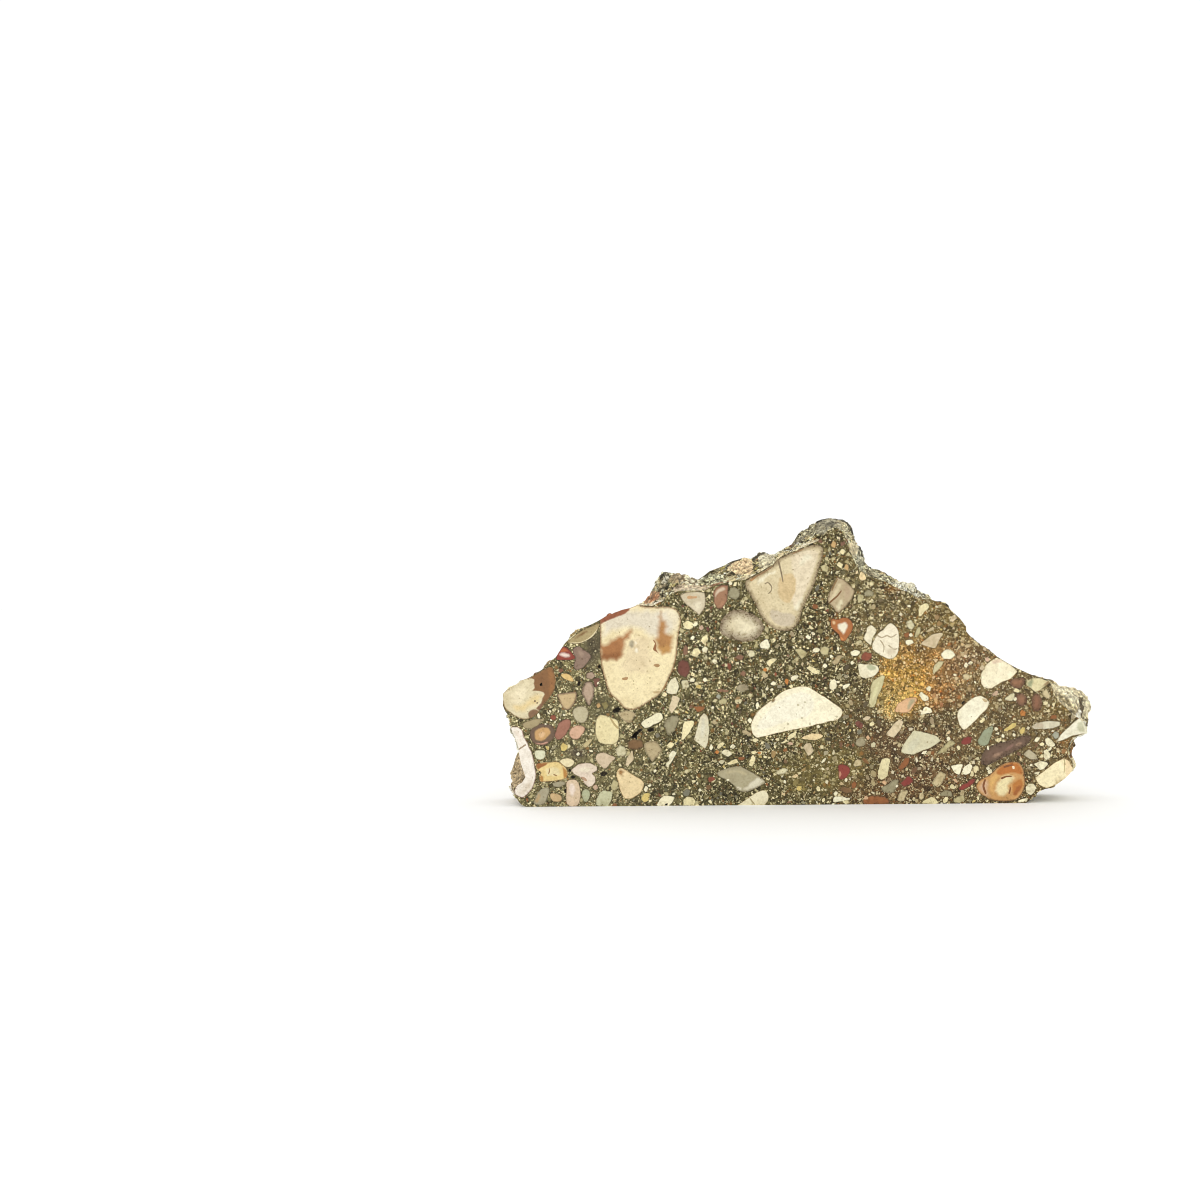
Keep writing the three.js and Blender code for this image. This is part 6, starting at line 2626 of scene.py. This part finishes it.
    def _small_pebble(self, tone: Tone, outline: Outline, rng: random.Random) -> Region:
        """Gives a small pebble its shade: cream ones have a crisp edge, the others a soft darker one."""
        shade = 1 + rng.uniform(-self.SHADE_VARIATION, self.SHADE_VARIATION)
        tint = tuple(min(1.0, c * shade) for c in linear(tone))
        outline = ragged(offset(worn(outline, 1, 0.13), self.SMALL_GROWTH), 0.45, 0.1)
        rim = blend(tint, linear(Tone.UMBER), 0.3)
        region = Region(outline, tint, rim, 0.1, soundness=rng.uniform(0.7, 0.97))
        if tone not in CRISP_TONES:
            region.rim = blend(tint, linear(Tone.UMBER), 0.5)
            region.rim_width = min(0.5, 0.14 * region.breadth)
        return region

    def back_cut(self, boundary: Outline) -> CutFace:
        """Draws the back cut with pebbles of the same kinds, larger ones first."""
        face = CutFace(boundary, self.colours.base, seed=29)
        light = lambda rng, place: linear(rng.choices(
            [Tone.CREAM, Tone.PALE_CREAM, Tone.BEIGE, Tone.PINK_CREAM, Tone.WARM_CREAM, Tone.SAGE, Tone.MAUVE,
             Tone.FAWN, Tone.GREY, Tone.TAN], [7, 6, 4, 4, 3, 2, 1, 3, 2, 2])[0])
        big = face.scatter(26, (4.0, 9.0), (0.2, 0.7), light, rim_share=0.07)
        self._stain_pebbles(face)
        medium = face.scatter(260, (1.2, 3.0), (0.1, 0.8), light, rim_share=0.1)
        small = face.scatter(1500, (0.4, 1.3), (0.0, 0.7), self.colours.any_chip, rim_share=0.14)
        kept = face.scatter(self.BACK_CHIP_TRIES, (0.2, 0.6), (0.1, 0.7), self.colours.any_chip)
        log.info("back cut: %d big, %d medium, %d small pebbles, %d chips", big, medium, small, kept)
        return face

    def _stain_pebbles(self, face: CutFace) -> None:
        """Gives the large pebbles of a cut a ragged rusty stain and a paler cloud each."""
        rusts = (Tone.RED_BROWN, Tone.TAN, Tone.RUST, Tone.FAWN)
        for i, body in enumerate(list(face.regions)):
            for tone, share, soft in ((rusts[i % len(rusts)], 0.38, 1.0), (Tone.WHITE, 0.5, 1.4)):
                turn = face.rng.uniform(0, 2 * math.pi)
                middle = body.outline.mean(0) + 0.32 * body.breadth * np.array([math.cos(turn), math.sin(turn)])
                stain = blob(face.rng, middle, share * body.breadth, 7, 0.4)
                region = Region(ragged(stain, 0.35, 0.3), linear(tone), parent=body, soundness=body.soundness)
                region.rim_width = soft
                face.add(region)

    def foot_cut(self, boundary: Outline) -> CutFace:
        """Draws the foot, which is a narrow saw cut."""
        face = CutFace(boundary, self.colours.base, seed=41)
        face.scatter(60, (1.4, 3.4), (0.4, 1.0), self.colours.any_chip, rim_share=0.08)
        face.scatter(260, (0.5, 1.4), (0.1, 0.9), self.colours.any_chip, rim_share=0.12)
        face.scatter(self.FOOT_CHIP_TRIES, (0.2, 0.6), (0.1, 0.7), self.colours.any_chip)
        return face

    # ----- the whole

    def build(self) -> bpy.types.Object:
        """Builds and dresses the slab.

        Returns:
            The slab's one object.
        """
        rind_points, rind_faces = self.build_rind()
        loop = self.edge_loop(rind_points, rind_faces)
        front_edge, back_edge, foot_edge = self.split_loop(rind_points, loop)
        front = self.front_cut(front_edge)
        self.rind.front_pebbles = [r for r in front.regions if r.breadth > 1.6 and r.rim_width]
        pieces = []
        for face, columns, level, sign in (
            (front, (0, 2), self.solid.front_y, 1.0),
            (self.back_cut(back_edge), (0, 2), self.solid.back_y, -1.0),
            (self.foot_cut(foot_edge), (0, 1), 0.0, 1.0),
        ):
            work = face.mesh()
            points = np.zeros((len(work.points), 3))
            points[:, columns[0]], points[:, columns[1]] = work.points[:, 0], work.points[:, 1]
            points[:, 3 - sum(columns)] = level + sign * work.points[:, 2]
            pieces.append(Patchwork(points, work.faces, work.tints, work.finishes))
            log.info("cut face: %d triangles", len(work.faces))
        tints, finishes = self.rind.tinted(rind_points, rind_faces, self.colours)
        pieces.append(Patchwork(rind_points, rind_faces, tints, finishes))
        log.info("rind: %d triangles", len(rind_faces))
        return self._assemble(pieces)

    def _assemble(self, pieces: list[Patchwork]) -> bpy.types.Object:
        """Welds the cuts and the rind into one closed mesh with its tints and materials."""
        start = np.cumsum([0] + [len(p.points) for p in pieces])
        points = np.concatenate([p.points for p in pieces])
        faces = np.concatenate([p.faces + s for p, s in zip(pieces, start)])
        tints = np.concatenate([p.tints for p in pieces])
        finishes = np.concatenate([p.finishes for p in pieces])
        is_rind = np.concatenate([np.full(len(p.faces), i == len(pieces) - 1) for i, p in enumerate(pieces)])
        _, first, place = np.unique(
            np.round(points, SEAM_PLACES), axis=0, return_index=True, return_inverse=True
        )
        faces = place.reshape(-1)[faces]
        sound = (faces[:, 0] != faces[:, 1]) & (faces[:, 1] != faces[:, 2]) & (faces[:, 2] != faces[:, 0])
        faces, tints, finishes, is_rind = faces[sound], tints[sound], finishes[sound], is_rind[sound]
        mesh = bpy.data.meshes.new("puddingstone")
        mesh.from_pydata((points[first] * MM).tolist(), [], faces.tolist())
        tint = mesh.attributes.new("tint", "FLOAT_COLOR", "CORNER")
        tint.data.foreach_set("color", tints.astype(np.float32).ravel())
        mesh.polygons.foreach_set("material_index", finishes.astype(np.int32))
        mesh.polygons.foreach_set("use_smooth", is_rind)
        self._close(mesh)
        for finish in (
            GravelMatrix(),
            CutPebble(),
            BrokenStone("broken_rind", 0.3, 0.9, 0.16),
            BrokenStone("weathered_pebble", 0.4, 0.38, 0.08),
            VugLining(),
        ):
            mesh.materials.append(finish.build())
        slab = bpy.data.objects.new("puddingstone", mesh)
        bpy.context.scene.collection.objects.link(slab)
        return slab

    @staticmethod
    def _close(mesh: bpy.types.Mesh) -> None:
        """Drops slivers outside the seams, turns all faces outwards and keeps the saw cuts' edges sharp."""
        work = bmesh.new()
        work.from_mesh(mesh)
        slivers = 0
        while flat := {
            e.link_faces[0] for e in work.edges
            if len(e.link_faces) == 1 and e.link_faces[0].calc_area() < SLIVER_AREA
        }:
            bmesh.ops.delete(work, geom=list(flat), context="FACES")
            slivers += len(flat)
        log.info("slivers: %d, open edges: %d", slivers, sum(len(e.link_faces) != 2 for e in work.edges))
        bmesh.ops.recalc_face_normals(work, faces=work.faces)
        for edge in work.edges:
            if len(edge.link_faces) == 2:
                a, b = edge.link_faces
                edge.smooth = a.smooth and b.smooth
        work.to_mesh(mesh)
        work.free()


# ----------------------------------------------------------------------------------- studio


@dataclass
class Studio:
    """A pale floor, soft light and the camera, all placed from the tracing sheet."""

    sheet: TracingSheet
    front_y: float
    floor_radius: float = 12.0
    image_size: float = 1200.0
    sensor: float = 36.0
    sharpness: float = 1.0

    def build(self) -> None:
        """Sets up the studio."""
        self._floor()
        self._lights()
        self._camera()

    def _floor(self) -> None:
        """Lays the pale floor."""
        mesh = bpy.data.meshes.new("studio_floor")
        r = self.floor_radius
        mesh.from_pydata([(-r, -r, 0), (r, -r, 0), (r, r, 0), (-r, r, 0)], [], [(0, 1, 2, 3)])
        floor = bpy.data.objects.new("studio_floor", mesh)
        bpy.context.scene.collection.objects.link(floor)
        sheet = NodeSheet("studio_floor")
        sheet.shader.inputs["Base Color"].default_value = (0.97, 0.97, 0.965, 1.0)
        sheet.shader.inputs["Roughness"].default_value = 0.9
        sheet.shader.inputs["Specular IOR Level"].default_value = 0.1
        mesh.materials.append(sheet.material)

    def _lights(self) -> None:
        """Places the sky and the soft lamps."""
        world = bpy.data.worlds.new("studio_sky")
        bpy.context.scene.world = world
        world.use_nodes = True
        sky = world.node_tree.nodes["Background"]
        sky.inputs["Color"].default_value = (1.0, 1.0, 0.99, 1.0)
        sky.inputs["Strength"].default_value = 1.07
        for name, place, size, watts in (
            ("key", (-0.25, -0.55, 0.55), 0.8, 0.5),
            ("top", (0.05, -0.05, 0.75), 1.0, 0.4),
        ):
            lamp = bpy.data.lights.new(name, "AREA")
            lamp.size = size
            lamp.energy = watts
            holder = bpy.data.objects.new(name, lamp)
            holder.location = place
            aim = Vector((0.0, 0.0, 0.025)) - Vector(place)
            holder.rotation_euler = aim.to_track_quat("-Z", "Y").to_euler()
            bpy.context.scene.collection.objects.link(holder)
        bpy.context.scene.view_settings.view_transform = "Standard"
        bpy.context.scene.cycles.filter_width = self.sharpness

    def _camera(self) -> None:
        """Puts the camera at the eye of the sheet, looking straight at the front cut."""
        data = bpy.data.cameras.new("camera")
        data.sensor_width = self.sensor
        data.lens = self.sensor * self.sheet.view_distance / (self.image_size * self.sheet.mm_per_unit)
        data.clip_start, data.clip_end = 0.01, 40.0
        camera = bpy.data.objects.new("camera", data)
        x, z = self.sheet.place(*self.sheet.vision)
        turned = Matrix.Rotation(math.pi / 2, 4, "X") @ Matrix.Rotation(-self.sheet.tilt, 4, "Z")
        camera.matrix_world = Matrix.Translation(
            (x * MM, (self.front_y - self.sheet.view_distance) * MM, z * MM)) @ turned
        bpy.context.scene.collection.objects.link(camera)
        bpy.context.scene.camera = camera


def main() -> None:
    """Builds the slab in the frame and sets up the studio."""
    logging.basicConfig(level=logging.INFO, format="%(name)s: %(message)s")
    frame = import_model()
    slab = PuddingstoneSlab(frame["nodes"][SLAB_NODE])
    stone = slab.build()
    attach(stone, SLAB_BODY)
    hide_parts(SLAB_NODE)
    log.info("piece %s: %d triangles", stone.name, len(stone.data.polygons))
    Studio(slab.sheet, slab.solid.front_y).build()


if __name__ == "__main__":
    main()
